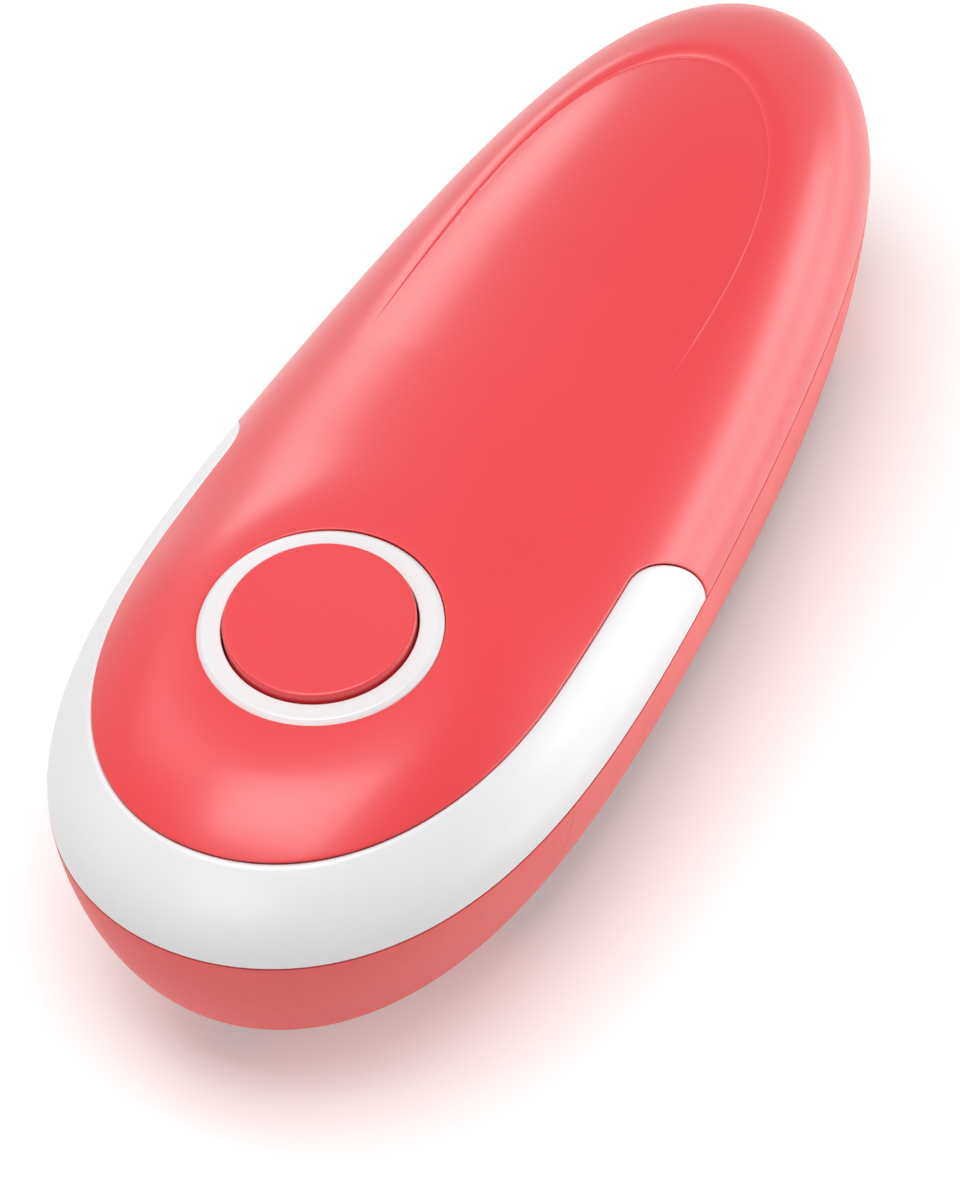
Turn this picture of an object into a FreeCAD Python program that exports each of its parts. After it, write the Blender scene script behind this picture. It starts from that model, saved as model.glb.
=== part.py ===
import FreeCAD, Part
import math
import os
import re
import Sketcher

V = FreeCAD.Vector
doc = FreeCAD.newDocument("CanOpener")

# ---------------------------------------------------------------- driving sizes, mm
SIZES = {
    "body_length": 190.0,      # nose tip to tail tip
    "body_width": 72.6,        # across the widest place, at the crease
    "dome_rise": 21.7,         # crest of the top over the crease
    "crease_height": 31.0,     # the seam between top and bottom, over the rest plane
    "keel_depth": 48.7,        # full depth that the bottom would have if it weren't cut flat
    "keel_draft": 0.12,        # how much the bottom's sides lean in
    "wall": 2.4,
    "seam_gap": 0.15,
    "deck_height": 7.0,        # underside of the handle over the rest plane
    "guard_length": 44.0,      # nose tip to the seam between guard and rear shell
    "mouth_half_width": 11.6,  # opening under the cutting disc
    "mouth_start": 23.5,
    "heel_start": 27.5,        # heel's front face, from the tail tip
    "foot_from_tail": 10.25,
    "foot_length": 11.0,
    "foot_width": 12.0,
    "foot_thick": 1.2,
    "foot_gap": 0.1,
    "band_rise": 11.85,        # white band, over the crease
    "band_reach": 72.5,        # nose tip to where the band's end begins to round off
    "band_thick": 1.2,
    "band_gap": 0.2,
    "scoop_half_width": 20.7,  # shallow thumb rest in the top
    "scoop_start": 93.6,
    "scoop_end": 163.0,
    "scoop_depth": 1.5,
    "scoop_corner": 3.6,       # exponent of the rounded end
    "button_from_nose": 42.7,
    "button_plane": 50.55,     # bezel's top face over the rest plane, on its axis
    "button_tilt": 5.5,        # degrees towards the nose
    "button_radius": 12.6,
    "button_proud": 1.4,
    "button_skirt": 7.0,
    "button_flange": 1.4,
    "button_travel": 1.5,
    "button_wall": 1.6,
    "bezel_width": 3.5,
    "bezel_depth": 6.7,
    "bezel_proud": 0.35,
    "bezel_flange": 1.2,       # how far its hidden lower rim stands out
    "bezel_step": 4.2,         # top of that rim under the bezel's face
    "bezel_gap": 0.1,
    "slide_gap": 0.3,
    "cup_floor_depth": 16.0,
    "cup_wall": 1.3,
    "cup_gap": 0.5,
    "board_thick": 1.4,
    "board_size": 18.0,
    "switch_size": 6.2,
    "switch_height": 2.0,
    "stem_radius": 2.2,
    "return_coil_radius": 6.0,
    "return_wire": 0.35,
    "return_turns": 6.0,
    "deck_thick": 1.6,
    "deck_start": 19.0,
    "deck_end": 98.0,
    "deck_half_width": 21.8,
    "fit_gap": 0.2,
    "running_gap": 0.05,
    "drive_from_nose": 57.2,
    "drive_radius": 7.0,
    "drive_teeth": 28.0,
    "tooth_depth": 0.55,
    "drive_low": 2.8,
    "drive_high": 6.5,
    "shaft_radius": 3.0,
    "shaft_top": 31.0,
    "bush_wall": 1.8,
    "bush_flange": 0.9,
    "bush_lip": 0.4,
    "cam_low": 9.9,
    "cam_thick": 3.0,
    "cam_radius": 7.7,
    "cam_lift": 6.0,
    "washer_thick": 0.5,
    "washer_width": 3.0,
    "arm_pivot_from_nose": 37.5,
    "arm_pivot_y": 17.5,
    "cutter_from_nose": 35.2,  # cutting disc's centre with the jaws open
    "cutter_radius": 10.0,
    "cutter_height": 4.7,      # the cutting edge over the rest plane
    "cutter_thick": 1.0,
    "cutter_bevel": 1.8,
    "cutter_hub_radius": 4.0,
    "cutter_hub_thick": 2.2,
    "spindle_radius": 2.5,
    "spindle_head_radius": 4.3,
    "spindle_head_height": 1.4,
    "driver_slot": 1.0,
    "slot_gap": 1.2,           # round the spindle, in the deck's slot
    "arm_thick": 3.0,
    "arm_width": 5.0,
    "arm_hub_radius": 4.8,
    "arm_tail": 32.0,
    "pivot_radius": 2.0,
    "arm_coil_gap": 1.4,       # the arm spring's coil, outside its pivot pin
    "arm_wire": 0.2,
    "arm_turns": 1.2,
    "pin_head_width": 1.4,
    "gear_module": 0.8,
    "gear_thick": 3.5,
    "pinion_teeth": 10.0,
    "small_teeth": 12.0,
    "large_teeth": 32.0,
    "drive_gear_teeth": 36.0,
    "drive_gear_low": 24.5,
    "gear_hub_wall": 2.6,
    "second_angle": 48.0,      # degrees, drive shaft to the second gear's pin
    "first_angle": -38.0,      # second gear's pin to the first gear's pin
    "motor_angle": -100.0,     # first gear's pin to the motor shaft
    "large_low": 28.5,         # second gear's large wheel
    "first_low": 37.5,         # first gear's large wheel and the motor pinion
    "pin_radius": 1.2,
    "plate_thick": 1.6,
    "lower_plate": 15.0,
    "upper_plate": 41.5,
    "lower_plate_start": 43.0,
    "upper_plate_start": 62.5,
    "plate_half_width": 20.5,
    "plate_end": 97.0,
    "post_radius": 2.0,
    "motor_radius": 11.0,
    "motor_low": 11.0,
    "motor_height": 23.0,
    "motor_nose": 1.5,
    "motor_cap_inset": 0.6,
    "motor_shaft_radius": 1.0,
    "magnet_from_nose": 80.0,
    "magnet_radius": 7.0,
    "magnet_thick": 3.2,
    "magnet_low": 2.8,
    "magnet_cup_wall": 1.5,
    "rim_rest_radius": 2.6,
    "rim_rest_y": 15.5,
    "rim_rest_lead": 4.0,      # how far in front of the drive wheel's axis they stand
    "cell_radius": 7.1,
    "cell_length": 50.5,
    "cell_nub_radius": 2.75,
    "cell_nub_length": 1.0,
    "cell_gap": 0.4,
    "contact_space": 3.4,
    "contact_radius": 4.0,
    "contact_wire": 0.3,
    "contact_turns": 2.5,
    "contact_half_width": 5.0,
    "contact_thick": 0.4,
    "tray_wall": 1.2,
    "tray_from_tail": 32.0,    # tail tip to the tray's rear face
    "door_thick": 2.0,
    "door_margin": 1.0,
    "door_gap": 0.3,
    "door_barrel_radius": 1.1,
    "door_barrel_reach": 2.0,  # how far the barrel stands out past the leaf on each side
    "barrel_gap": 0.06,
    "door_grooves": 4.0,
    "door_groove_width": 1.0,
    "door_groove_depth": 0.6,
    "boss_radius": 3.4,
    "nose_boss_from_nose": 14.5,
    "nose_boss_lift": 4.0,     # the nose screw's head sits this much higher
    "middle_boss_from_nose": 102.0,
    "middle_boss_y": 24.0,
    "tail_boss_from_tail": 22.0,
    "tail_boss_y": 10.6,
    "guard_boss_from_nose": 30.5,
    "guard_boss_y": 14.6,
    "guard_boss_radius": 2.6,
    "guard_seat": 2.0,         # seat of the guard's screw heads over the rest plane
    "screw_radius": 1.4,
    "screw_bite": 9.0,         # how far the shell screws reach over the crease
    "screw_head_radius": 2.7,
    "screw_head_height": 1.8,
    "screw_seat_wall": 0.6,
    "screw_gap": 0.15,
    "small_screw_radius": 1.0,
    "small_screw_length": 4.6,
    "small_head_radius": 2.2,
    "small_head_height": 1.2,
    "head_gap": 0.2,
    "bore_gap": 0.1,
    "wire_radius": 0.6,
    "wire_bend": 2.0,
    "flat_reach": 8.0,         # how far outside the bezel the top begins to flatten
}

sheet = doc.addObject("Spreadsheet::Sheet", "Sizes")
for row, (alias, number) in enumerate(SIZES.items(), start=1):
    sheet.set("A%d" % row, alias)
    sheet.set("B%d" % row, str(number))
    sheet.setAlias("B%d" % row, alias)
doc.recompute()


def size(alias):
    """The number that the sheet holds under an alias."""
    return float(sheet.get(alias))


def bound(text):
    """Turn a formula in plain aliases into one that reads the sheet."""
    return re.sub(r"[a-z][a-z_]*[a-z]", lambda word: "Sizes." + word.group(0)
                  if word.group(0) in SIZES else word.group(0), str(text))


def bind(item, prop, text):
    item.setExpression(prop, bound(text))


def place(item, x="0", y="0", z="0"):
    for axis, text in zip("xyz", (x, y, z)):
        bind(item, "Placement.Base." + axis, text)
    return item


NOSE = "-body_length / 2"
TAIL = "body_length / 2"


def from_nose(text):
    return "(%s + %s)" % (NOSE, text)


nose_x = -size("body_length") / 2
tail_x = size("body_length") / 2
crease = size("crease_height")
nodes = {}


def node(name, item):
    """Give a finished piece its name and keep it for the export."""
    item.Label = name
    nodes[name] = item
    return item


# ---------------------------------------------------------------- small builders
def make(kind, name, sizes, x="0", y="0", z="0"):
    item = doc.addObject("Part::" + kind, name)
    for prop, text in sizes.items():
        bind(item, prop, text)
    return place(item, x, y, z)


def box(name, low, high):
    """A box between two corners, each given as three formulas."""
    spans = ["(%s) - (%s)" % pair for pair in zip(high, low)]
    return make("Box", name, dict(zip(("Length", "Width", "Height"), spans)), *low)


def rod(name, radius, x, y, low, high):
    """An upright cylinder."""
    return make("Cylinder", name, {"Radius": radius, "Height": "(%s) - (%s)" % (high, low)}, x, y, low)


def cross_rod(name, radius, x, y_low, y_high, z):
    """A cylinder that lies along Y."""
    item = rod(name, radius, x, y_high, "0", "(%s) - (%s)" % (y_high, y_low))
    place(item, x, y_high, z)
    item.Placement.Rotation = FreeCAD.Rotation(V(1, 0, 0), 90)
    return item


def cut(name, base, tool):
    item = doc.addObject("Part::Cut", name)
    item.Base = base
    item.Tool = tool
    return item


def both(name, base, tool):
    item = doc.addObject("Part::MultiCommon", name)
    item.Shapes = [base, tool]
    return item


def joined(name, items):
    item = doc.addObject("Part::MultiFuse", name)
    item.Shapes = items
    return item


def group(name, items):
    """Several separate solids under one name."""
    item = doc.addObject("Part::Compound", name)
    item.Links = items
    return item


def solid_feature(name, shape):
    item = doc.addObject("Part::Feature", name)
    item.Shape = shape
    return item


def plane_of(body, role):
    return [part for part in body.Origin.OriginFeatures if part.Role == role][0]


def sketch_on(body, name, role):
    sketch = body.newObject("Sketcher::SketchObject", name)
    sketch.AttachmentSupport = [(plane_of(body, role), "")]
    sketch.MapMode = "FlatFace"
    return sketch


def polygon(sketch, points):
    """A closed outline whose corners are pairs of formulas."""
    count = len(points)
    first = sketch.GeometryCount
    start = [V(9 * math.cos(2 * math.pi * i / count) + 20, 9 * math.sin(2 * math.pi * i / count) + 20, 0)
             for i in range(count)]
    for i in range(count):
        sketch.addGeometry(Part.LineSegment(start[i], start[(i + 1) % count]), False)
    for i in range(count):
        after = first + (i + 1) % count
        sketch.addConstraint(Sketcher.Constraint("Coincident", first + i, 2, after, 1))
    for i, pair in enumerate(points):
        for kind, text, now in zip(("DistanceX", "DistanceY"), pair, start[i]):
            index = sketch.addConstraint(Sketcher.Constraint(kind, -1, 1, first + i, 1, now))
            bind(sketch, "Constraints[%d]" % index, text)


def circle(sketch, radius, x="0", y="0"):
    index = sketch.addGeometry(Part.Circle(V(1, 1, 0), V(0, 0, 1), 5), False)
    for kind, text in (("DistanceX", x), ("DistanceY", y)):
        row = sketch.addConstraint(Sketcher.Constraint(kind, -1, 1, index, 3, 1.0))
        bind(sketch, "Constraints[%d]" % row, text)
    row = sketch.addConstraint(Sketcher.Constraint("Radius", index, 5.0))
    bind(sketch, "Constraints[%d]" % row, radius)


def turned(name, profile):
    """A body of revolution about Z, from (radius, height) pairs."""
    body = doc.addObject("PartDesign::Body", name)
    sketch = sketch_on(body, name + "_profile", "XZ_Plane")
    polygon(sketch, profile)
    turn = body.newObject("PartDesign::Revolution", name + "_turn")
    turn.Profile = sketch
    turn.ReferenceAxis = (sketch, ["V_Axis"])
    turn.Angle = 360.0
    sketch.Visibility = False
    return body


def padded(name, thick, draw):
    """A flat body: draw puts the outline and the holes on its sketch."""
    body = doc.addObject("PartDesign::Body", name)
    sketch = sketch_on(body, name + "_outline", "XY_Plane")
    draw(sketch)
    pad = body.newObject("PartDesign::Pad", name + "_pad")
    pad.Profile = sketch
    bind(pad, "Length", thick)
    return body


def toothed(name, root, tip, half_root, half_tip, thick, bore, count, sink="0.3"):
    """A wheel with straight-sided teeth round it, the first one on +X."""
    def blank(sketch):
        circle(sketch, root)
        circle(sketch, bore)
    body = padded(name, thick, blank)
    sketch = sketch_on(body, name + "_tooth", "XY_Plane")
    inner = "(%s) - %s" % (root, sink)
    polygon(sketch, [(inner, "-(%s)" % half_root), (tip, "-(%s)" % half_tip),
                     (tip, half_tip), (inner, half_root)])
    pad = body.newObject("PartDesign::Pad", name + "_tooth_pad")
    pad.Profile = sketch
    bind(pad, "Length", thick)
    pattern = body.newObject("PartDesign::PolarPattern", name + "_teeth")
    pattern.Originals = [pad]
    pattern.Axis = (sketch, ["N_Axis"])
    pattern.Angle = 360
    pattern.Occurrences = int(round(size(count))) if count in SIZES else int(count)
    body.Tip = pattern
    return body


def gear(name, teeth, thick, bore):
    """A spur gear of the common module."""
    pitch = "gear_module * %s / 2" % teeth
    return toothed(name, pitch + " - 1.1 * gear_module", pitch + " + 0.75 * gear_module",
                   "0.98 * gear_module", "0.36 * gear_module", thick, bore, teeth)


def coil(radius, wire, height, turns):
    """A round-wire helix standing on its own origin, run along one spline."""
    pitch = (height - 2 * wire) / turns
    steps = round(16 * turns)
    angles = [2 * math.pi * turns * i / steps for i in range(steps + 1)]
    path = Part.BSplineCurve()
    path.interpolate([V(radius * math.cos(a), radius * math.sin(a), pitch * a / (2 * math.pi)) for a in angles])
    ring = Part.Wire([Part.makeCircle(wire, V(radius, 0, 0), V(0, 1, pitch / (2 * math.pi * radius)))])
    spring = Part.Wire([path.toShape()]).makePipeShell([ring], True, True)
    spring.translate(V(0, 0, wire))
    return spring


def wire_run(points, bend):
    """A round wire along straight runs with tangent arcs at the corners."""
    edges = []
    last = points[0]
    for before, corner, after in zip(points, points[1:], points[2:]):
        back = (before - corner).normalize()
        ahead = (after - corner).normalize()
        half = back.getAngle(ahead) / 2
        reach = bend / math.tan(half)
        start = corner + back * reach
        end = corner + ahead * reach
        middle = corner + (back + ahead).normalize() * (bend / math.sin(half) - bend)
        edges.append(Part.LineSegment(last, start).toShape())
        edges.append(Part.Arc(start, middle, end).toShape())
        last = end
    edges.append(Part.LineSegment(last, points[-1]).toShape())
    ring = Part.Wire([Part.makeCircle(size("wire_radius"), points[0], points[1] - points[0])])
    return Part.Wire(edges).makePipeShell([ring], True, False)


# ---------------------------------------------------------------- the outer form
# Along the body a size is 2 * sqrt(t * (1 - t)) times a cubic through four shares,
# so that nose and tail are round and the flanks run smoothly between them.
PLAN_SHARES = (1.479, 0.913, 0.797, 1.047)
CREST_SHARES = (1.502, 0.796, 0.652, 1.764)
KEEL_SHARES = (1.150, 0.786, 0.922, 1.643)
SIDE_FULLNESS = 0.012
ALONG = 44
AROUND = 26


def cubic(shares, t):
    u = 1 - t
    return (shares[0] * u ** 3 + 3 * shares[1] * t * u * u
            + 3 * shares[2] * t * t * u + shares[3] * t ** 3)


def button_plane_at(x):
    """Height of the bezel's top plane over a place on the centre line."""
    lean = math.tan(math.radians(size("button_tilt")))
    return size("button_plane") + (x - nose_x - size("button_from_nose")) * lean


def form_point(t, turn, upper, inset, drop):
    """A point of the outer form: t runs from nose to tail, turn from one side over to the other."""
    swell = 2 * math.sqrt(max(t * (1 - t), 0))
    x = nose_x + inset + (size("body_length") - 2 * inset) * t
    if swell < 1e-6:
        return V(x, 0, crease if upper else crease - size("seam_gap"))
    half = swell * (size("body_width") / 2 * cubic(PLAN_SHARES, t) - inset)
    side = (math.cos(turn) - SIDE_FULLNESS * math.cos(3 * turn)) / (1 - SIDE_FULLNESS)
    if not upper:
        depth = swell * (size("keel_depth") * cubic(KEEL_SHARES, t) - inset)
        lean = 1 - size("keel_draft") * math.sin(turn)
        return V(x, half * side * lean, crease - size("seam_gap") - depth * math.sin(turn))
    rise = swell * (size("dome_rise") * cubic(CREST_SHARES, t) - inset)
    y = half * side
    z = crease + rise * math.sin(turn)
    reach = size("button_radius") + size("bezel_width") + size("flat_reach")
    away = math.hypot(x - nose_x - size("button_from_nose"), y) / reach
    flat = math.exp(-away ** 4) * math.sin(turn)
    z += flat * (button_plane_at(x) - size("bezel_proud") - inset - z)
    return V(x, y, z - drop(x) * math.sin(turn))


def no_drop(x):
    return 0.0


def form(upper, inset=0.0, drop=no_drop):
    """Half of the outer form as a solid that a flat face closes at the crease."""
    rows = []
    for i in range(ALONG + 1):
        t = (1 - math.cos(math.pi * i / ALONG)) / 2
        turns = [math.pi * j / AROUND for j in range(AROUND + 1)]
        if upper:
            turns.reverse()
        rows.append([form_point(t, turn, upper, inset, drop) for turn in turns])
    surface = Part.BSplineSurface()
    surface.interpolate(rows)
    skin = surface.toShape()
    rim = Part.Wire([edge for edge in skin.Edges if not edge.Degenerated and edge.Length > 1])
    solid = Part.Solid(Part.Shell([skin, Part.Face(rim)]))
    solid.fix(1e-4, 1e-5, 1e-3)
    return solid


def block(low, high):
    return Part.makeBox(high[0] - low[0], high[1] - low[1], high[2] - low[2], V(*low))


def column(radius, x, y, low, high):
    return Part.makeCylinder(radius, high - low, V(x, y, low))


REACH = 200.0
wall = size("wall")
deck = size("deck_height")
guard_end = nose_x + size("guard_length")
heel_x = tail_x - size("heel_start")
top_outer = form(True)
low_outer = form(False)
low_inner = form(False, wall)
ABOVE = 1.0                    # how far a cutting tool reaches past the faces it cuts


def under(solid, shift, floor, heel_floor):
    """Keep what lies over the floor, and over the lower heel floor behind the heel's face."""
    main = block((-REACH, -REACH, floor), (heel_x + shift, REACH, REACH))
    heel = block((heel_x + shift, -REACH, heel_floor), (REACH, REACH, REACH))
    return solid.common(main.fuse(heel))


# ---------------------------------------------------------------- places that several pieces share
DRIVE_X = from_nose("drive_from_nose")
BUTTON_X = from_nose("button_from_nose")
PIVOT_X = from_nose("arm_pivot_from_nose")
CUTTER_X = from_nose("cutter_from_nose")
MAGNET_X = from_nose("magnet_from_nose")
SECOND_MESH = "gear_module * (small_teeth + drive_gear_teeth) / 2"
FIRST_MESH = "gear_module * (small_teeth + large_teeth) / 2"
MOTOR_MESH = "gear_module * (pinion_teeth + large_teeth) / 2"
SECOND_X = "(%s + %s * cos(second_angle * 1 deg))" % (DRIVE_X, SECOND_MESH)
SECOND_Y = "(%s * sin(second_angle * 1 deg))" % SECOND_MESH
FIRST_X = "(%s + %s * cos(first_angle * 1 deg))" % (SECOND_X, FIRST_MESH)
FIRST_Y = "(%s + %s * sin(first_angle * 1 deg))" % (SECOND_Y, FIRST_MESH)
MOTOR_X = "(%s + %s * cos(motor_angle * 1 deg))" % (FIRST_X, MOTOR_MESH)
MOTOR_Y = "(%s + %s * sin(motor_angle * 1 deg))" % (FIRST_Y, MOTOR_MESH)
GEAR_PINS = ((SECOND_X, SECOND_Y), (FIRST_X, FIRST_Y))
TRAY_REAR = "(%s - tray_from_tail)" % TAIL
CELL_REAR = "(%s - tray_wall - cell_gap)" % TRAY_REAR
CELL_FRONT = "(%s - cell_length)" % CELL_REAR
TRAY_FRONT = "(%s - contact_space - tray_wall)" % CELL_FRONT
TRAY_HALF = "(2 * cell_radius + cell_gap + tray_wall)"
FLOOR_TOP = "(deck_height + wall)"
LOW_CELL = "(%s + cell_gap + cell_radius)" % FLOOR_TOP
CELL_PITCH = "(2 * cell_radius + cell_gap)"
BEZEL_RADIUS = "(button_radius + bezel_width)"

# posts between the deck and the gear plates: from the nose, across, up to which plate
POSTS = ((46.0, -16.0, "lower_plate"), (64.0, -17.0, "upper_plate"),
         (88.0, 19.0, "upper_plate"), (94.0, -19.0, "upper_plate"))
GUARD_BOSSES = [(size("guard_boss_from_nose"), side * size("guard_boss_y")) for side in (1, -1)]
SHELL_BOSSES = [(nose_x + size("nose_boss_from_nose"), 0.0)]
SHELL_BOSSES += [(nose_x + size("middle_boss_from_nose"), side * size("middle_boss_y")) for side in (1, -1)]
SHELL_BOSSES += [(tail_x - size("tail_boss_from_tail"), side * size("tail_boss_y")) for side in (1, -1)]


def tilted():
    """The button's own frame: its axis leans towards the nose."""
    return FreeCAD.Placement(V(nose_x + size("button_from_nose"), 0, size("button_plane")),
                             FreeCAD.Rotation(V(0, 1, 0), -size("button_tilt")))


def lean(item):
    """Put a piece that was built on the button's axis into the button's frame."""
    place(item, BUTTON_X, "0", "button_plane")
    item.Placement.Rotation = tilted().Rotation
    return item


# ---------------------------------------------------------------- top shell, band, thumb rest
scoop_from = nose_x + size("scoop_start")
scoop_to = nose_x + size("scoop_end")


def scoop_drop(x):
    """How far the thumb rest lies under the outer form, growing towards the tail."""
    u = (x - scoop_from) / (scoop_to - scoop_from)
    return size("scoop_depth") * math.sin(math.pi / 2 * min(u, 1.0))


def inner_drop(x):
    """The wall's inner side follows the thumb rest part of the way."""
    u = (x - scoop_from) / (tail_x - scoop_from)
    return size("scoop_depth") * math.sin(math.pi * u) ** 2 if 0 < u < 1 else 0.0


def scoop_outline():
    """The U-shaped outline of the thumb rest, extruded upwards."""
    steps = 20
    side = []
    for i in range(steps + 1):
        turn = math.pi / 2 * i / steps
        x = scoop_from + (scoop_to - scoop_from) * math.sin(turn)
        share = 1 - math.sin(turn) ** size("scoop_corner")
        side.append(V(x, size("scoop_half_width") * math.sqrt(max(share, 0)), crease))
    mirror = [V(point.x, -point.y, point.z) for point in reversed(side[:-1])]
    curve = Part.BSplineCurve()
    curve.interpolate(side + mirror)
    closing = Part.LineSegment(mirror[-1], side[0])
    outline = Part.Wire([curve.toShape(), closing.toShape()])
    return Part.Face(outline).extrude(V(0, 0, REACH))


def band_region(grow):
    """Where the white band lies, seen from the side: a strip with a quarter-round end."""
    end = nose_x + size("band_reach")
    rise = size("band_rise") + grow
    strip = block((-REACH, -REACH, crease), (end, REACH, crease + rise))
    tip = Part.makeCylinder(rise, 2 * REACH, V(end, REACH, crease), V(0, -1, 0))
    return strip.fuse(tip.common(block((end, -REACH, crease), (REACH, REACH, crease + 2 * rise))))


def low_boss(x, y):
    """A screw boss from the floor to the crease."""
    limit = low_outer if x < guard_end else lower
    return column(size("boss_radius"), x, y, 0.0, crease).common(limit)


def high_boss(x, y):
    """A screw boss from the crease to the top shell's inner side."""
    return column(size("boss_radius"), x, y, crease, crease + REACH).common(top_hollow)


def under_head(x):
    """Height of the seat that a shell screw's head bears on."""
    floor = wall if x > heel_x or x < guard_end else deck + wall
    lift = size("nose_boss_lift") if x < guard_end else 0.0
    return floor + size("screw_head_height") + size("screw_seat_wall") + lift


bezel_radius = size("button_radius") + size("bezel_width")
bezel_hole = column(bezel_radius + size("bezel_gap"), 0, 0, -crease, crease)
bezel_hole.Placement = tilted()
top_hollow = form(True, wall, inner_drop)
top = top_outer.cut(scoop_outline().cut(form(True, 0.0, scoop_drop)))
top = top.cut(top_hollow).fuse([high_boss(x, y) for x, y in SHELL_BOSSES])
top = top.cut(band_region(size("band_gap")).cut(form(True, size("band_thick") + size("running_gap"))))
top = top.cut(bezel_hole)
for x, y in SHELL_BOSSES:
    top = top.cut(column(size("screw_radius"), x, y, crease - ABOVE, crease + size("screw_bite") + ABOVE))
node("upper_shell", solid_feature("upper_shell", top.removeSplitter()))

band = top_outer.common(band_region(0)).cut(form(True, size("band_thick")))
node("accent_band", solid_feature("accent_band", band))

# ---------------------------------------------------------------- bottom: guard, rear shell, foot
lower = under(low_outer, 0, deck, 0.0)
hollow = under(low_inner, wall, deck + wall, wall)
nose_part = low_outer.common(block((-REACH, -REACH, 0), (guard_end - 0.1, REACH, REACH)))
nose_part = nose_part.cut(low_inner.common(block((-REACH, -REACH, wall), (REACH, REACH, REACH))))
mouth_half = size("mouth_half_width")
mouth_from = nose_x + size("mouth_start") + mouth_half
mouth = block((mouth_from, -mouth_half, -ABOVE), (REACH, mouth_half, wall + ABOVE))
nose_part = nose_part.cut(mouth.fuse(column(mouth_half, mouth_from, 0, -ABOVE, wall + ABOVE)))
for x, y in GUARD_BOSSES:
    stem = column(size("guard_boss_radius"), nose_x + x, y, wall / 2, deck)
    bore = column(size("small_screw_radius") + size("bore_gap"), nose_x + x, y, -ABOVE, deck + ABOVE)
    recess = column(size("small_head_radius") + size("head_gap"), nose_x + x, y, -ABOVE, size("guard_seat"))
    nose_part = nose_part.fuse(stem.common(low_outer)).cut(bore.fuse(recess))

rear_part = lower.cut(hollow).common(block((guard_end, -REACH, -ABOVE), (REACH, REACH, REACH)))
deck_half = size("deck_half_width") + size("fit_gap")
deck_rear = nose_x + size("deck_end") + size("fit_gap")
rear_part = rear_part.cut(block((guard_end - ABOVE, -deck_half, deck - ABOVE),
                                (deck_rear, deck_half, deck + wall + ABOVE)))

for x, y in SHELL_BOSSES:
    if x < guard_end:
        nose_part = nose_part.fuse(low_boss(x, y))
    else:
        rear_part = rear_part.fuse(low_boss(x, y))
for x, y in SHELL_BOSSES:
    bore = column(size("screw_radius") + size("screw_gap"), x, y, -ABOVE, crease + ABOVE)
    counterbore = column(size("screw_head_radius") + size("head_gap"), x, y, -ABOVE, under_head(x))
    nose_part = nose_part.cut(bore.fuse(counterbore))
    rear_part = rear_part.cut(bore.fuse(counterbore))

# the battery door's opening, with a groove for its hinge barrel at the tail end
tray_rear = tail_x - size("tray_from_tail")
cell_front = tray_rear - size("tray_wall") - size("cell_gap") - size("cell_length")
tray_front = cell_front - size("contact_space") - size("tray_wall")
door_front = tray_front - size("door_margin")
door_rear = tray_rear + size("door_margin")
door_half = 2 * size("cell_radius") + size("cell_gap") + size("tray_wall") + size("door_margin")
barrel = size("door_barrel_radius")
gap = size("door_gap")
barrel_end = door_half + size("door_barrel_reach") + size("fit_gap")
door_hole = block((door_front - gap, -door_half - gap, deck - ABOVE),
                  (door_rear + gap, door_half + gap, deck + wall + ABOVE))
barrel_hole = Part.makeCylinder(barrel + size("barrel_gap"), 2 * barrel_end,
                                V(door_rear - barrel, -barrel_end, deck + barrel), V(0, 1, 0))
rear_part = rear_part.cut(door_hole.fuse(barrel_hole))
foot_x = tail_x - size("foot_from_tail") - size("foot_length")
foot_half = size("foot_width") / 2
rear_part = rear_part.cut(block((foot_x, -foot_half, -ABOVE),
                                (foot_x + size("foot_length"), foot_half, size("foot_thick"))))
node("nose_guard", solid_feature("nose_guard", nose_part.removeSplitter()))
node("rear_shell", solid_feature("rear_shell", rear_part.removeSplitter()))

FOOT_REAR = "(%s - foot_from_tail)" % TAIL
foot_corner = (FOOT_REAR + " - foot_length + foot_gap", "foot_gap - foot_width / 2", "0")
node("heel_foot", box("heel_foot", foot_corner,
                      (FOOT_REAR + " - foot_gap", "foot_width / 2 - foot_gap", "foot_thick")))

DOOR_FRONT = "(%s - door_margin)" % TRAY_FRONT
DOOR_REAR = "(%s + door_margin)" % TRAY_REAR
DOOR_HALF = "(%s + door_margin)" % TRAY_HALF
BARREL_X = "(%s - door_barrel_radius)" % DOOR_REAR
door_leaf = box("door_leaf", (DOOR_FRONT, "-" + DOOR_HALF, "deck_height"),
                (BARREL_X, DOOR_HALF, "deck_height + door_thick"))
door_bar = cross_rod("door_bar", "door_barrel_radius", BARREL_X, "-%s - door_barrel_reach" % DOOR_HALF,
                     DOOR_HALF + " + door_barrel_reach", "deck_height + door_barrel_radius")
thumb_grooves = []
for i in range(int(size("door_grooves"))):
    start = "%s + %d * door_groove_width" % (DOOR_FRONT, 4 + 2 * i)
    end = start + " + door_groove_width"
    thumb_grooves.append(box("thumb_groove", (start, "-cell_radius", "deck_height - door_thick"),
                             (end, "cell_radius", "deck_height + door_groove_depth")))
node("battery_door", cut("battery_door", joined("door_blank", [door_leaf, door_bar]),
                         joined("door_grooves", thumb_grooves)))

# ---------------------------------------------------------------- button group
bezel_in = "button_radius + slide_gap"
bezel_out = BEZEL_RADIUS + " + bezel_flange"
bezel = turned("button_bezel", [(bezel_in, "0"), (BEZEL_RADIUS + " - 0.8", "0"), (BEZEL_RADIUS, "-0.7"),
                                (BEZEL_RADIUS, "-bezel_step"), (bezel_out, "-bezel_step"),
                                (bezel_out, "-bezel_depth"), (bezel_in, "-bezel_depth")])
node("button_bezel", lean(bezel))

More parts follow.
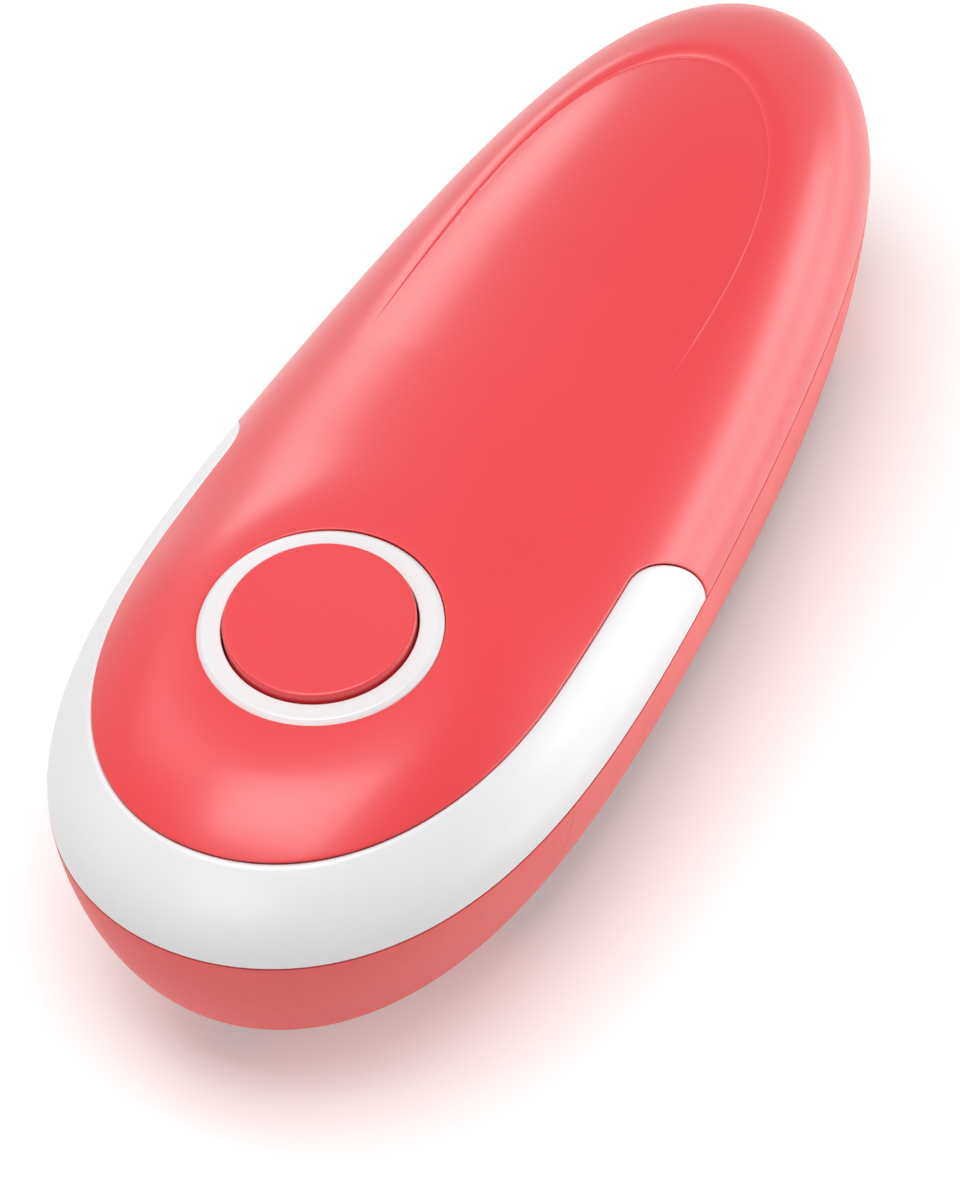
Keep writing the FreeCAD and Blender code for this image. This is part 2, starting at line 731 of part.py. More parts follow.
STEM_END = "(cup_floor_depth - board_thick - switch_height - button_travel - 0.7)"
flange = "button_radius + button_wall"
button = turned("push_button", [("0", "button_proud"), ("button_radius - 0.8", "button_proud"),
                                ("button_radius", "button_proud - 0.8"), ("button_radius", "-button_skirt"),
                                (flange, "-button_skirt"), (flange, "-button_skirt - button_flange"),
                                ("button_radius - button_wall", "-button_skirt - button_flange"),
                                ("button_radius - button_wall", "-button_wall"),
                                ("stem_radius", "-button_wall"), ("stem_radius", "-" + STEM_END),
                                ("0", "-" + STEM_END)])
node("push_button", lean(button))

cup_in = "button_radius + button_wall + cup_gap"
cup_out = cup_in + " + cup_wall"
cup_base = "-cup_floor_depth - cup_wall"
cup = turned("switch_cup", [("0", cup_base), (cup_out, cup_base), (cup_out, "-bezel_depth"),
                            (cup_in, "-bezel_depth"), (cup_in, "-cup_floor_depth"),
                            ("0", "-cup_floor_depth")])
node("switch_cup", lean(cup))


def square(name, side, thick):
    """A flat square body."""
    half = side + " / 2"
    corners = [("-" + half, "-" + half), (half, "-" + half), (half, half), ("-" + half, half)]
    return padded(name, thick, lambda sketch: polygon(sketch, corners))


def board_at(item, depth):
    """Lift a flat piece along the button's axis, by a depth under the bezel's face."""
    spot = tilted().multVec(V(0, 0, -depth))
    item.Placement = FreeCAD.Placement(spot, tilted().Rotation)
    return item


board = square("switch_board", "board_size", "board_thick")
node("switch_board", board_at(board, size("cup_floor_depth")))
switch_depth = size("cup_floor_depth") - size("board_thick")
switch_block = board_at(square("switch_block", "switch_size", "switch_height"), switch_depth)
switch_dome = board_at(turned("switch_dome", [("0", "0"), ("1.7", "0"), ("1.7", "switch_height + 0.5"),
                                              ("0", "switch_height + 0.5")]), switch_depth)
node("tact_switch", joined("tact_switch", [switch_block, switch_dome]))

return_wire = size("return_wire")
spring_height = switch_depth - size("button_wall") - 2 * size("slide_gap")
button_coil = coil(size("return_coil_radius"), return_wire, spring_height, size("return_turns"))
coil_depth = switch_depth - return_wire - size("running_gap")
node("button_spring", board_at(solid_feature("button_spring", button_coil), coil_depth))

# ---------------------------------------------------------------- deck and gear plates
deck_inside = solid_feature("deck_inside", form(False, wall + size("fit_gap")))
deck_slab = box("deck_slab", (from_nose("deck_start"), "-deck_half_width", "deck_height"),
                (from_nose("deck_end"), "deck_half_width", "deck_height + deck_thick"))
slot_half = "spindle_radius + slot_gap"
SLOT_END = "(%s + 2 * (arm_pivot_from_nose - cutter_from_nose))" % CUTTER_X
BUSH_SEAT = "shaft_radius + running_gap + bush_wall"


def hole(name, radius, x, y, plate):
    """A tool that bores right through one of the three plates."""
    return rod(name, radius, x, y, plate + " - plate_thick", plate + " + 2 * plate_thick")


def post_holes(plate, radius, wanted):
    """A hole in a plate for each post that ends at one of the wanted plates."""
    return [hole("post_hole", radius, from_nose(str(x)), str(y), plate)
            for x, y, top in POSTS if top in wanted]


def pin_holes(plate):
    """Holes for the pins that the loose gears turn on."""
    return [hole("pin_hole", "pin_radius", x, y, plate) for x, y in GEAR_PINS]


slot_blank = box("slot_blank", (CUTTER_X, "-(%s)" % slot_half, "deck_height - deck_thick"),
                 (SLOT_END, slot_half, FLOOR_TOP))
deck_tools = [slot_blank, hole("pivot_seat", "pivot_radius", PIVOT_X, "arm_pivot_y", "deck_height"),
              hole("bush_seat", BUSH_SEAT, DRIVE_X, "0", "deck_height")]
deck_tools += [hole("slot_end", slot_half, x, "0", "deck_height") for x in (CUTTER_X, SLOT_END)]
deck_tools += post_holes("deck_height", "small_screw_radius + bore_gap", ("lower_plate", "upper_plate"))
deck_tools += [hole("guard_hole", "small_screw_radius", from_nose(str(x)), str(y), "deck_height")
               for x, y in GUARD_BOSSES]
deck_blank = both("deck_blank", deck_slab, deck_inside)
node("deck_plate", cut("deck_plate", deck_blank, joined("deck_holes", deck_tools)))

low_plate_blank = box("low_plate_blank", (from_nose("lower_plate_start"), "-plate_half_width", "lower_plate"),
                      (from_nose("plate_end"), "plate_half_width", "lower_plate + plate_thick"))
low_tools = [hole("motor_notch", "motor_radius + slide_gap", MOTOR_X, MOTOR_Y, "lower_plate"),
             hole("upper_seat", BUSH_SEAT, DRIVE_X, "0", "lower_plate")]
low_tools += pin_holes("lower_plate") + post_holes("lower_plate", "post_radius", ("upper_plate",))
low_tools += post_holes("lower_plate", "small_screw_radius", ("lower_plate",))
node("lower_gear_plate", cut("lower_gear_plate", low_plate_blank, joined("low_plate_tools", low_tools)))

up_plate_blank = box("up_plate_blank", (from_nose("upper_plate_start"), "-plate_half_width", "upper_plate"),
                     (from_nose("plate_end"), "plate_half_width", "upper_plate + plate_thick"))
up_tools = pin_holes("upper_plate") + post_holes("upper_plate", "small_screw_radius", ("upper_plate",))
node("upper_gear_plate", cut("upper_gear_plate", up_plate_blank, joined("up_plate_tools", up_tools)))


def post(x, y, plate):
    """A post from the deck, tapped at both ends."""
    shaft = rod("post", "post_radius", from_nose(str(x)), str(y), "deck_height + deck_thick", plate)
    bore = rod("post_bore", "small_screw_radius", from_nose(str(x)), str(y), "deck_height",
               plate + " + plate_thick")
    return cut("tapped_post", shaft, bore)


node("frame_posts", group("frame_posts", [post(*row) for row in POSTS]))


def small_screw(x, y, seat, length, up):
    """A pan-head screw: its head under the seat, or over it when it points down."""
    sign = "-" if up else "+"
    head = turned("screw_head", [("0", "0"), ("small_head_radius", "0"),
                                 ("small_head_radius", "small_head_height * 0.6"),
                                 ("small_head_radius * 0.6", "small_head_height"),
                                 ("0", "small_head_height")])
    shank = rod("screw_shank", "small_screw_radius", "0", "0", "-(%s)" % length, "0")
    piece = joined("small_screw", [head, shank])
    place(piece, from_nose(str(x)), str(y), seat)
    if up:
        piece.Placement.Rotation = FreeCAD.Rotation(V(1, 0, 0), 180)
    return piece


plate_screws = [small_screw(x, y, plate + " + plate_thick", "small_screw_length", False)
                for x, y, plate in POSTS]
node("plate_screws", group("plate_screws", plate_screws))
deck_screws = [small_screw(x, y, "deck_height", "small_screw_length", True) for x, y, plate in POSTS]
deck_screws += [small_screw(x, y, "guard_seat", "deck_height + deck_thick - guard_seat - fit_gap", True)
                for x, y in GUARD_BOSSES]
node("deck_screws", group("deck_screws", deck_screws))

# ---------------------------------------------------------------- drive wheel, shaft, bushes, cam
wheel = toothed("drive_wheel", "drive_radius - tooth_depth", "drive_radius", "0.55", "0.2",
                "drive_high - drive_low", "shaft_radius", "drive_teeth")
node("drive_wheel", place(wheel, DRIVE_X, "0", "drive_low"))
shaft = turned("drive_shaft", [("0", "drive_low - 0.8"), ("shaft_radius * 1.3", "drive_low - 0.8"),
                               ("shaft_radius * 1.3", "drive_low"), ("shaft_radius", "drive_low"),
                               ("shaft_radius", "shaft_top - 0.5"), ("shaft_radius - 0.5", "shaft_top"),
                               ("0", "shaft_top")])
node("drive_shaft", place(shaft, DRIVE_X))


def bush(name, plate, thick, flange):
    """A flanged bush pressed into a plate from below."""
    bore = "shaft_radius + running_gap"
    rim = BUSH_SEAT + " + bush_flange"
    low = "%s - %s" % (plate, flange)
    high = "%s + %s + 1" % (plate, thick)
    return place(turned(name, [(bore, low), (rim, low), (rim, plate), (BUSH_SEAT, plate), (BUSH_SEAT, high),
                               (bore, high)]), DRIVE_X)


node("shaft_bushes", group("shaft_bushes", [bush("low_bush", "deck_height", "deck_thick", "bush_lip"),
                                            bush("high_bush", "lower_plate", "plate_thick", "2 * bush_lip")]))

pivot = V(nose_x + size("arm_pivot_from_nose"), size("arm_pivot_y"), 0)
centre = V(nose_x + size("drive_from_nose"), 0, 0)
to_centre = centre - pivot
follow = size("cam_radius") + size("slide_gap")
bar_angle = math.atan2(to_centre.y, to_centre.x) + math.asin(follow / to_centre.Length)


def cam_face():
    """The cam's outline: round for half a turn, then a spiral that lifts the arm."""
    normal = bar_angle + math.pi / 2
    steps = 24
    low, lift = size("cam_radius"), size("cam_lift")
    spiral = []
    for i in range(steps + 1):
        turn = math.pi * i / steps
        radius = low + lift * i / steps
        spiral.append(V(radius * math.cos(normal - turn), radius * math.sin(normal - turn), 0))
    curve = Part.BSplineCurve()
    curve.interpolate(spiral)
    foot = V(-low * math.cos(normal), -low * math.sin(normal), 0)
    middle = V(-low * math.sin(normal), low * math.cos(normal), 0)
    step = Part.LineSegment(spiral[-1], foot)
    back = Part.Arc(foot, middle, spiral[0])
    return Part.Face(Part.Wire([curve.toShape(), step.toShape(), back.toShape()]))


cam = cam_face().extrude(V(0, 0, size("cam_thick")))
cam = cam.cut(column(size("shaft_radius") + size("running_gap"), 0, 0, -ABOVE, size("cam_thick") + ABOVE))
cam_item = solid_feature("cam_wheel", cam)
node("cam_wheel", place(cam_item, DRIVE_X, "0", "cam_low"))
washer_in = "shaft_radius + running_gap"
washer_out = "shaft_radius + washer_width"
washer = turned("cam_washer", [(washer_in, "0"), (washer_out, "0"), (washer_out, "washer_thick"),
                               (washer_in, "washer_thick")])
node("cam_washer", place(washer, DRIVE_X, "0", "cam_low + cam_thick + bore_gap"))

# ---------------------------------------------------------------- cutter arm
arm_width = size("arm_width")
tail_end = pivot + V(math.cos(bar_angle), math.sin(bar_angle), 0) * size("arm_tail")
cutter_spot = V(nose_x + size("cutter_from_nose"), 0, 0)


def strip(start, end, left, right):
    """A flat bar from one point to another, with its own reach to each side."""
    along = (end - start).normalize()
    across = V(-along.y, along.x, 0)
    corners = [start + across * left, end + across * left, end - across * right, start - across * right]
    return Part.Face(Part.makePolygon(corners + corners[:1]))


def disc(radius, spot):
    return Part.Face(Part.Wire([Part.makeCircle(radius, spot)]))


neck = arm_width * 0.7
arm = strip(pivot, tail_end, arm_width, 0)
arm = arm.fuse([strip(pivot, cutter_spot, neck, neck), disc(size("arm_hub_radius"), cutter_spot)])
arm = arm.removeSplitter().extrude(V(0, 0, size("arm_thick")))
arm = arm.fuse(column(size("arm_hub_radius"), pivot.x, pivot.y, 0, size("arm_thick")))
for radius, spot in ((follow, centre), (size("pivot_radius") + size("running_gap"), pivot),
                     (size("spindle_radius"), cutter_spot)):
    arm = arm.cut(column(radius, spot.x, spot.y, -ABOVE, size("arm_thick") + ABOVE))
arm_item = solid_feature("cutter_arm", arm.removeSplitter())
node("cutter_arm", place(arm_item, "0", "0", "cam_low"))

spindle_top = "cam_low + arm_thick"
pin_shoulder = spindle_top + " + fit_gap"
pin_head = "pivot_radius + pin_head_width"
pin_top = pin_shoulder + " + small_head_height"
pin = turned("arm_pivot_pin", [("0", "deck_height"), ("pivot_radius", "deck_height"),
                               ("pivot_radius", pin_shoulder), (pin_head, pin_shoulder), (pin_head, pin_top),
                               ("0", pin_top)])
node("arm_pivot_pin", place(pin, PIVOT_X, "arm_pivot_y"))

hub_low = "cutter_height - cutter_hub_thick / 2"
hub_high = "cutter_height + cutter_hub_thick / 2"
head_low = hub_low + " - spindle_head_height - bore_gap"
spindle = turned("cutter_spindle", [("0", head_low), ("spindle_head_radius - 0.4", head_low),
                                    ("spindle_head_radius", head_low + " + 0.9"),
                                    ("spindle_head_radius", hub_low + " - bore_gap"),
                                    ("spindle_radius", hub_low + " - bore_gap"),
                                    ("spindle_radius", hub_high + " + bore_gap"),
                                    ("spindle_radius + 0.8", hub_high + " + bore_gap"),
                                    ("spindle_radius + 0.8", "cam_low"), ("spindle_radius", "cam_low"),
                                    ("spindle_radius", spindle_top), ("0", spindle_top)])
driver_slot = box("driver_slot", ("-driver_slot / 2", "-spindle_head_radius", head_low + " - driver_slot"),
                  ("driver_slot / 2", "spindle_head_radius", head_low + " + 0.7"))
node("cutter_spindle", place(cut("cutter_spindle", spindle, driver_slot), CUTTER_X))
nut_top = spindle_top + " + small_head_height"
nut = turned("spindle_nut", [("0", spindle_top), ("spindle_radius + 1.2", spindle_top),
                             ("spindle_radius + 0.8", nut_top), ("0", nut_top)])
node("spindle_cap", place(nut, CUTTER_X))
disc_in = "spindle_radius + running_gap"
land = "cutter_radius - cutter_bevel"
disc_low = "cutter_height - cutter_thick / 2"
disc_high = "cutter_height + cutter_thick / 2"
blade = turned("cutter_wheel", [(disc_in, hub_low), ("cutter_hub_radius", hub_low),
                                ("cutter_hub_radius", disc_low), (land, disc_low),
                                ("cutter_radius", "cutter_height"), (land, disc_high),
                                ("cutter_hub_radius", disc_high), ("cutter_hub_radius", hub_high),
                                (disc_in, hub_high)])
node("cutter_wheel", place(blade, CUTTER_X))

# the spring's one coil stands between the deck and the arm, round the pivot pin
coil_room = size("cam_low") - deck - size("deck_thick") - 2 * size("fit_gap")
torsion = coil(size("pivot_radius") + size("arm_coil_gap"), size("arm_wire"), coil_room, size("arm_turns"))
spring_item = solid_feature("arm_spring", torsion)
node("arm_spring", place(spring_item, PIVOT_X, "arm_pivot_y", "deck_height + deck_thick + fit_gap"))

# ---------------------------------------------------------------- gear train and motor
small_bore = "pin_radius + running_gap"


def phase(item, toward, teeth, gap_there):
    """Turn a gear so that a tooth, or a gap, points at its neighbour."""
    turn = toward + (180.0 / size(teeth) if gap_there else 0.0)
    item.Placement.Rotation = FreeCAD.Rotation(V(0, 0, 1), turn)
    return item


drive_gear = gear("drive_gear_rim", "drive_gear_teeth", "gear_thick", "shaft_radius")
phase(place(drive_gear, DRIVE_X, "0", "drive_gear_low"), size("second_angle"), "drive_gear_teeth", False)
gear_hub_low = "lower_plate + plate_thick + 1 + slide_gap"
gear_hub_out = "shaft_radius + gear_hub_wall"
gear_hub = turned("drive_gear_hub", [("shaft_radius", gear_hub_low), (gear_hub_out, gear_hub_low),
                                     (gear_hub_out, "drive_gear_low"), ("shaft_radius", "drive_gear_low")])
node("drive_gear", joined("drive_gear", [drive_gear, place(gear_hub, DRIVE_X)]))

second_small = gear("second_small", "small_teeth", "large_low - drive_gear_low", small_bore)
place(second_small, SECOND_X, SECOND_Y, "drive_gear_low")
phase(second_small, size("second_angle") + 180, "small_teeth", True)
second_large = gear("second_large", "large_teeth", "gear_thick", small_bore)
phase(place(second_large, SECOND_X, SECOND_Y, "large_low"), size("first_angle"), "large_teeth", False)
node("second_gear", joined("second_gear", [second_small, second_large]))

first_small = gear("first_small", "small_teeth", "first_low - large_low", small_bore)
phase(place(first_small, FIRST_X, FIRST_Y, "large_low"), size("first_angle") + 180, "small_teeth", True)
first_large = gear("first_large", "large_teeth", "gear_thick", small_bore)
phase(place(first_large, FIRST_X, FIRST_Y, "first_low"), size("motor_angle"), "large_teeth", False)
node("first_gear", joined("first_gear", [first_small, first_large]))

pinion = place(gear("motor_pinion", "pinion_teeth", "gear_thick", "motor_shaft_radius"),
               MOTOR_X, MOTOR_Y, "first_low")
node("motor_pinion", phase(pinion, size("motor_angle") + 180, "pinion_teeth", True))

gear_pins = [rod("gear_pin", "pin_radius", x, y, "lower_plate", "upper_plate + plate_thick")
             for x, y in GEAR_PINS]
node("gear_pins", group("gear_pins", gear_pins))

motor_top = "motor_low + motor_height"
can_in = "motor_shaft_radius + running_gap"
can_nose = motor_top + " + motor_nose"
can = turned("motor_can", [(can_in, "motor_low"), ("motor_radius", "motor_low"),
                           ("motor_radius", motor_top + " - 1"), ("motor_radius - 1", motor_top),
                           ("motor_radius * 0.3", motor_top), ("motor_radius * 0.3", can_nose),
                           (can_in, can_nose)])
node("motor_can", place(can, MOTOR_X, MOTOR_Y))
cap_low = FLOOR_TOP + " + bore_gap"
cap_out = "motor_radius - motor_cap_inset"
cap_pocket = "motor_low - 0.8"
end_cap = turned("motor_end_cap", [("0", cap_low), (cap_out, cap_low), (cap_out, "motor_low"),
                                   (can_in, "motor_low"), (can_in, cap_pocket), ("0", cap_pocket)])
node("motor_end_cap", place(end_cap, MOTOR_X, MOTOR_Y))
node("motor_shaft", rod("motor_shaft", "motor_shaft_radius", MOTOR_X, MOTOR_Y, cap_pocket + " + bore_gap",
                        "upper_plate - fit_gap"))

# ---------------------------------------------------------------- magnet and rim rests
MAGNET_TOP = "magnet_low + magnet_thick"
cup_bore = "magnet_radius + running_gap"
cup_rim = "magnet_radius + magnet_cup_wall"
magnet_cup = turned("magnet_cup", [("0", MAGNET_TOP), (cup_bore, MAGNET_TOP), (cup_bore, "magnet_low + 0.5"),
                                   (cup_rim, "magnet_low + 0.5"), (cup_rim, "deck_height"),
                                   ("0", "deck_height")])
node("magnet_cup", place(magnet_cup, MAGNET_X))
node("lid_magnet", rod("lid_magnet", "magnet_radius", MAGNET_X, "0", "magnet_low", MAGNET_TOP))
rim_rests = [rod("rim_rest", "rim_rest_radius", from_nose("drive_from_nose - rim_rest_lead"), y, "drive_high",
                 "deck_height") for y in ("rim_rest_y", "-rim_rest_y")]
node("rim_rests", group("rim_rests", rim_rests))

# ---------------------------------------------------------------- cells, tray, contacts, wires
tray_top = "%s + 2 * %s" % (FLOOR_TOP, CELL_PITCH)
tray_outer = box("tray_outer", (TRAY_FRONT, "-" + TRAY_HALF, FLOOR_TOP + " + bore_gap"),
                 (TRAY_REAR, TRAY_HALF, tray_top + " + tray_wall"))
tray_inner = box("tray_inner", (TRAY_FRONT + " + tray_wall", "-%s + tray_wall" % TRAY_HALF, "deck_height"),
                 (TRAY_REAR + " - tray_wall", TRAY_HALF + " - tray_wall", tray_top))
node("battery_tray", cut("battery_tray", tray_outer, tray_inner))


def cell(name, y, z, forward):
    """One dry cell along X, its nub towards the nose or the tail."""
    body = turned(name, [("0", "0"), ("cell_radius", "0"), ("cell_radius", "cell_length - cell_nub_length"),
                         ("cell_nub_radius", "cell_length - cell_nub_length"),
                         ("cell_nub_radius", "cell_length"), ("0", "cell_length")])
    place(body, CELL_REAR if forward else CELL_FRONT, y, z)
    body.Placement.Rotation = FreeCAD.Rotation(V(0, 1, 0), -90 if forward else 90)
    return body


HALF_PITCH = "(%s / 2)" % CELL_PITCH
contact_wire = size("contact_wire")
contact_length = size("contact_space") - 1.4
cells = []
springs = []
for i, (side, up) in enumerate(((-1, 0), (1, 0), (-1, 1), (1, 1))):
    cell_y = "%d * %s" % (side, HALF_PITCH)
    cell_z = "%s + %d * %s" % (LOW_CELL, up, CELL_PITCH)
    cells.append(cell("dry_cell", cell_y, cell_z, side * (1 - 2 * up) > 0))
    turns = coil(size("contact_radius"), contact_wire, contact_length, size("contact_turns"))
    contact = solid_feature("contact_coil", turns)
    place(contact, TRAY_FRONT + " + tray_wall + 2 * contact_thick", cell_y, cell_z)
    contact.Placement.Rotation = FreeCAD.Rotation(V(0, 1, 0), 90)
    springs.append(contact)
node("aa_cells", group("aa_cells", cells))
node("contact_springs", group("contact_springs", springs))

contact_plates = []
for side in (-1, 1):
    middle_y = "%d * %s" % (side, HALF_PITCH)
    for front in (TRAY_FRONT + " + tray_wall", CELL_REAR):
        low_corner = (front, middle_y + " - contact_half_width", LOW_CELL + " - contact_half_width")
        high_corner = (front + " + contact_thick", middle_y + " + contact_half_width",
                       LOW_CELL + " + contact_half_width + " + CELL_PITCH)
        contact_plates.append(box("contact_plate", low_corner, high_corner))
node("contact_plates", group("contact_plates", contact_plates))

# leads rise from the tray: two go down to the motor's end cap, one goes over the gears to the switch
tray_high = deck + wall + 2 * (2 * size("cell_radius") + size("cell_gap")) + size("tray_wall")
bend = size("wire_bend")
motor_over = tray_high + 2.1 * bend
switch_over = motor_over + 0.5 * bend
cap_z = deck + wall + 0.4 * bend
doc.recompute()
motor_spot = nodes["motor_shaft"].Placement.Base
down_x = tray_front - bend - 0.1


def motor_lead(y, turn):
    """From the tray over its front edge and down to a tag on the motor's end cap."""
    tag = V(math.cos(turn), math.sin(turn), 0) * (size("motor_radius") - size("bore_gap"))
    rise_x = tray_front + 2.35 * bend
    route = [V(rise_x, y, tray_high), V(rise_x, y, motor_over), V(down_x, y, motor_over),
             V(down_x, y, cap_z), V(motor_spot.x + tag.x, motor_spot.y + tag.y, cap_z)]
    return wire_run(route, bend)


def switch_lead(y):
    """From the tray over the gears to the side of the switch cup."""
    rise_x = tray_front + 0.85 * bend
    cup_x = nose_x + size("button_from_nose") + size("button_radius") + size("button_wall") + 2 * bend
    route = [V(rise_x, y, tray_high), V(rise_x, y, switch_over), V(cup_x + 0.5 * bend, y, switch_over),
             V(cup_x - 0.45 * bend, y, switch_over - 2.3 * bend)]
    return wire_run(route, bend)


leads = [motor_lead(-5.0, 0.25), motor_lead(-9.0, -0.2), switch_lead(5.0)]
node("leads", solid_feature("leads", Part.makeCompound(leads)))

# ---------------------------------------------------------------- shell screws, check and export
def shell_screw(x, y):
    """A long screw from below: head on its seat in the boss, point in the upper boss."""
    seat = under_head(x)
    height = size("screw_head_height")
    half = size("driver_slot") / 2
    shank = column(size("screw_radius"), x, y, seat - height / 2, crease + size("screw_bite"))
    head = column(size("screw_head_radius"), x, y, seat - height, seat)
    recess = block((x - half, y - 4 * half, seat - 2 * height), (x + half, y + 4 * half, seat - height / 2))
    return solid_feature("shell_screw", shank.fuse(head).cut(recess))


node("shell_screws", group("shell_screws", [shell_screw(x, y) for x, y in SHELL_BOSSES]))

doc.recompute()
for item in doc.Objects:
    if "Invalid" in item.State or "Error" in item.State:
        raise RuntimeError("%s failed: %s" % (item.Label, item.State))
os.makedirs("parts", exist_ok=True)
for name, item in nodes.items():
    shape = item.Shape
    if shape.isNull() or not shape.isValid() or not shape.Solids:
        raise RuntimeError("%s has no valid shape" % name)
    shape.exportStep("parts/%s.step" % name)
print("%d nodes written" % len(nodes))
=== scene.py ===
import math
import bmesh
import bpy
from mathutils import Matrix, Vector


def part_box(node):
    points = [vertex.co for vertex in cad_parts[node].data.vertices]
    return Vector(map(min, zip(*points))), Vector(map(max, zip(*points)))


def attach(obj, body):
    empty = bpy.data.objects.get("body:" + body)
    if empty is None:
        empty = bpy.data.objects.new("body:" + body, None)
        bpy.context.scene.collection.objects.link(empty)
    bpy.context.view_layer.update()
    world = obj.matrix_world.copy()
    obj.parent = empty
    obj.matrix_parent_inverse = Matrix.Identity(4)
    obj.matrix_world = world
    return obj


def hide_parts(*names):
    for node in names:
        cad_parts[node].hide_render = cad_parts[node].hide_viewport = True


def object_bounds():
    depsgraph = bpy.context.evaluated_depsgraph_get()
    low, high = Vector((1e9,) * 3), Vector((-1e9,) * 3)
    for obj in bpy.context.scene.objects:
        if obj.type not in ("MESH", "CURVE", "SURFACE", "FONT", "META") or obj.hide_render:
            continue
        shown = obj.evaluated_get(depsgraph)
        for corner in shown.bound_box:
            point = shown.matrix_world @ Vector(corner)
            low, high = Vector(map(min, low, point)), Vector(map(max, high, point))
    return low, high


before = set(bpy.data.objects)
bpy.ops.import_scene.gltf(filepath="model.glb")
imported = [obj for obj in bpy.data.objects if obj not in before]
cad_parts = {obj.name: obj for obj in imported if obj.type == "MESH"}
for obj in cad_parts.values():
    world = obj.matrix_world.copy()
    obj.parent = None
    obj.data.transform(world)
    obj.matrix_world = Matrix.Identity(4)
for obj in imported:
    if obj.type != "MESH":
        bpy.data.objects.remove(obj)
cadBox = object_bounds()
print("frame loaded:", len(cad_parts), "nodes")


# a shader socket that takes part in plain expressions
class Link:
    def __init__(self, graph, socket):
        self.graph = graph
        self.socket = socket

    def math(self, operation, other):
        return self.graph.add("ShaderNodeMath", {"operation": operation}, {0: self, 1: other})

    def __add__(self, other):
        return self.math("ADD", other)

    def __sub__(self, other):
        return self.math("SUBTRACT", other)

    def __rsub__(self, other):
        return self.graph.add("ShaderNodeMath", {"operation": "SUBTRACT"}, {0: other, 1: self})

    def __mul__(self, other):
        return self.math("MULTIPLY", other)

    __radd__ = __add__
    __rmul__ = __mul__


# a node tree that grows one node at a time
class Graph:
    def __init__(self, tree):
        self.tree = tree

    # a node of one kind: its settings come first, then the values or links of its sockets
    def add(self, kind, settings=None, sockets=None, out=0):
        node = self.tree.nodes.new(kind)
        for key, value in (settings or {}).items():
            setattr(node, key, value)
        for key, value in (sockets or {}).items():
            self.feed(node.inputs[key], value)
        return Link(self, node.outputs[out])

    def feed(self, socket, value):
        if isinstance(value, Link):
            self.tree.links.new(value.socket, socket)
        elif isinstance(value, tuple) and socket.type == "RGBA":
            socket.default_value = (*value, 1.0)
        else:
            socket.default_value = value

    # where a point of the piece is, in metres, stretched along the axes if wished
    def place(self, stretch=(1.0, 1.0, 1.0)):
        where = self.add("ShaderNodeTexCoord", out="Object")
        return self.add("ShaderNodeMapping", {}, {"Vector": where, "Scale": stretch})

    def noise(self, where, scale, detail=3.0, rough=0.5):
        sockets = {"Vector": where, "Scale": scale, "Detail": detail, "Roughness": rough}
        return self.add("ShaderNodeTexNoise", {}, sockets)

    # a colour between two
    def blend(self, share, first, second):
        return self.add("ShaderNodeMix", {"data_type": "RGBA"}, {0: share, 6: first, 7: second}, 2)

    # 0 at the low value, 1 at the high one, held beyond them
    def ramp(self, value, low, high):
        sockets = {"Value": value, "From Min": low, "From Max": high}
        return self.add("ShaderNodeMapRange", {"clamp": True}, sockets)

    def bump(self, height, distance):
        return self.add("ShaderNodeBump", {}, {"Height": height, "Distance": distance})

    # 1 on rays of one kind: Camera, Glossy or Transmission
    def ray(self, kind):
        return self.add("ShaderNodeLightPath", out=f"Is {kind} Ray")

    # 1 where a thing is seen itself, mirrored, or through clear material
    def seen(self):
        direct = self.ray("Camera").math("MAXIMUM", self.ray("Glossy"))
        return direct.math("MAXIMUM", self.ray("Transmission"))


# the nodes of one new material
class Finish(Graph):
    def __init__(self, name):
        self.material = bpy.data.materials.new(name)
        self.material.use_nodes = True
        super().__init__(self.material.node_tree)
        self.shader = self.tree.nodes["Principled BSDF"]

    # BaseColor feeds the socket Base Color, and so on
    def set(self, **sockets):
        for key, value in sockets.items():
            name = "".join(" " + letter if letter.isupper() else letter for letter in key).strip()
            self.feed(self.shader.inputs[name], value)


# moulded plastics: colour and its darker clouds, gloss and how far it varies, and a fine relief
plasticLooks = {
    "red_shell": {"colour": (0.81, 0.031, 0.037), "deep": (0.77, 0.026, 0.032), "rough": 0.42,
                  "spread": 0.05, "grain": 2600.0, "relief": 0.000004, "coat": 0.60},
    "coral_shell": {"colour": (0.86, 0.110, 0.100), "deep": (0.80, 0.092, 0.084), "rough": 0.52,
                    "spread": 0.06, "grain": 2000.0, "relief": 0.000012, "coat": 0.10},
    "white_trim": {"colour": (0.86, 0.86, 0.87), "deep": (0.80, 0.80, 0.81), "rough": 0.36,
                   "spread": 0.05, "grain": 2400.0, "relief": 0.000004, "coat": 0.35},
    "dark_plastic": {"colour": (0.030, 0.031, 0.034), "deep": (0.018, 0.018, 0.020), "rough": 0.48,
                     "spread": 0.10, "grain": 1800.0, "relief": 0.000015, "coat": 0.0},
    "nylon_gear": {"colour": (0.72, 0.70, 0.62), "deep": (0.62, 0.60, 0.52), "rough": 0.42,
                   "spread": 0.08, "grain": 1500.0, "relief": 0.000010, "coat": 0.0},
    "foot_rubber": {"colour": (0.040, 0.040, 0.042), "deep": (0.024, 0.024, 0.025), "rough": 0.78,
                    "spread": 0.10, "grain": 1300.0, "relief": 0.000030, "coat": 0.0},
    "lead_jacket": {"colour": (0.42, 0.020, 0.022), "deep": (0.30, 0.014, 0.016), "rough": 0.45,
                    "spread": 0.08, "grain": 1500.0, "relief": 0.000006, "coat": 0.0},
}
plasticGrain = {"cloud": 28.0, "cloudLow": 0.35, "cloudHigh": 0.65, "speckShare": 0.25, "coatRough": 0.24}


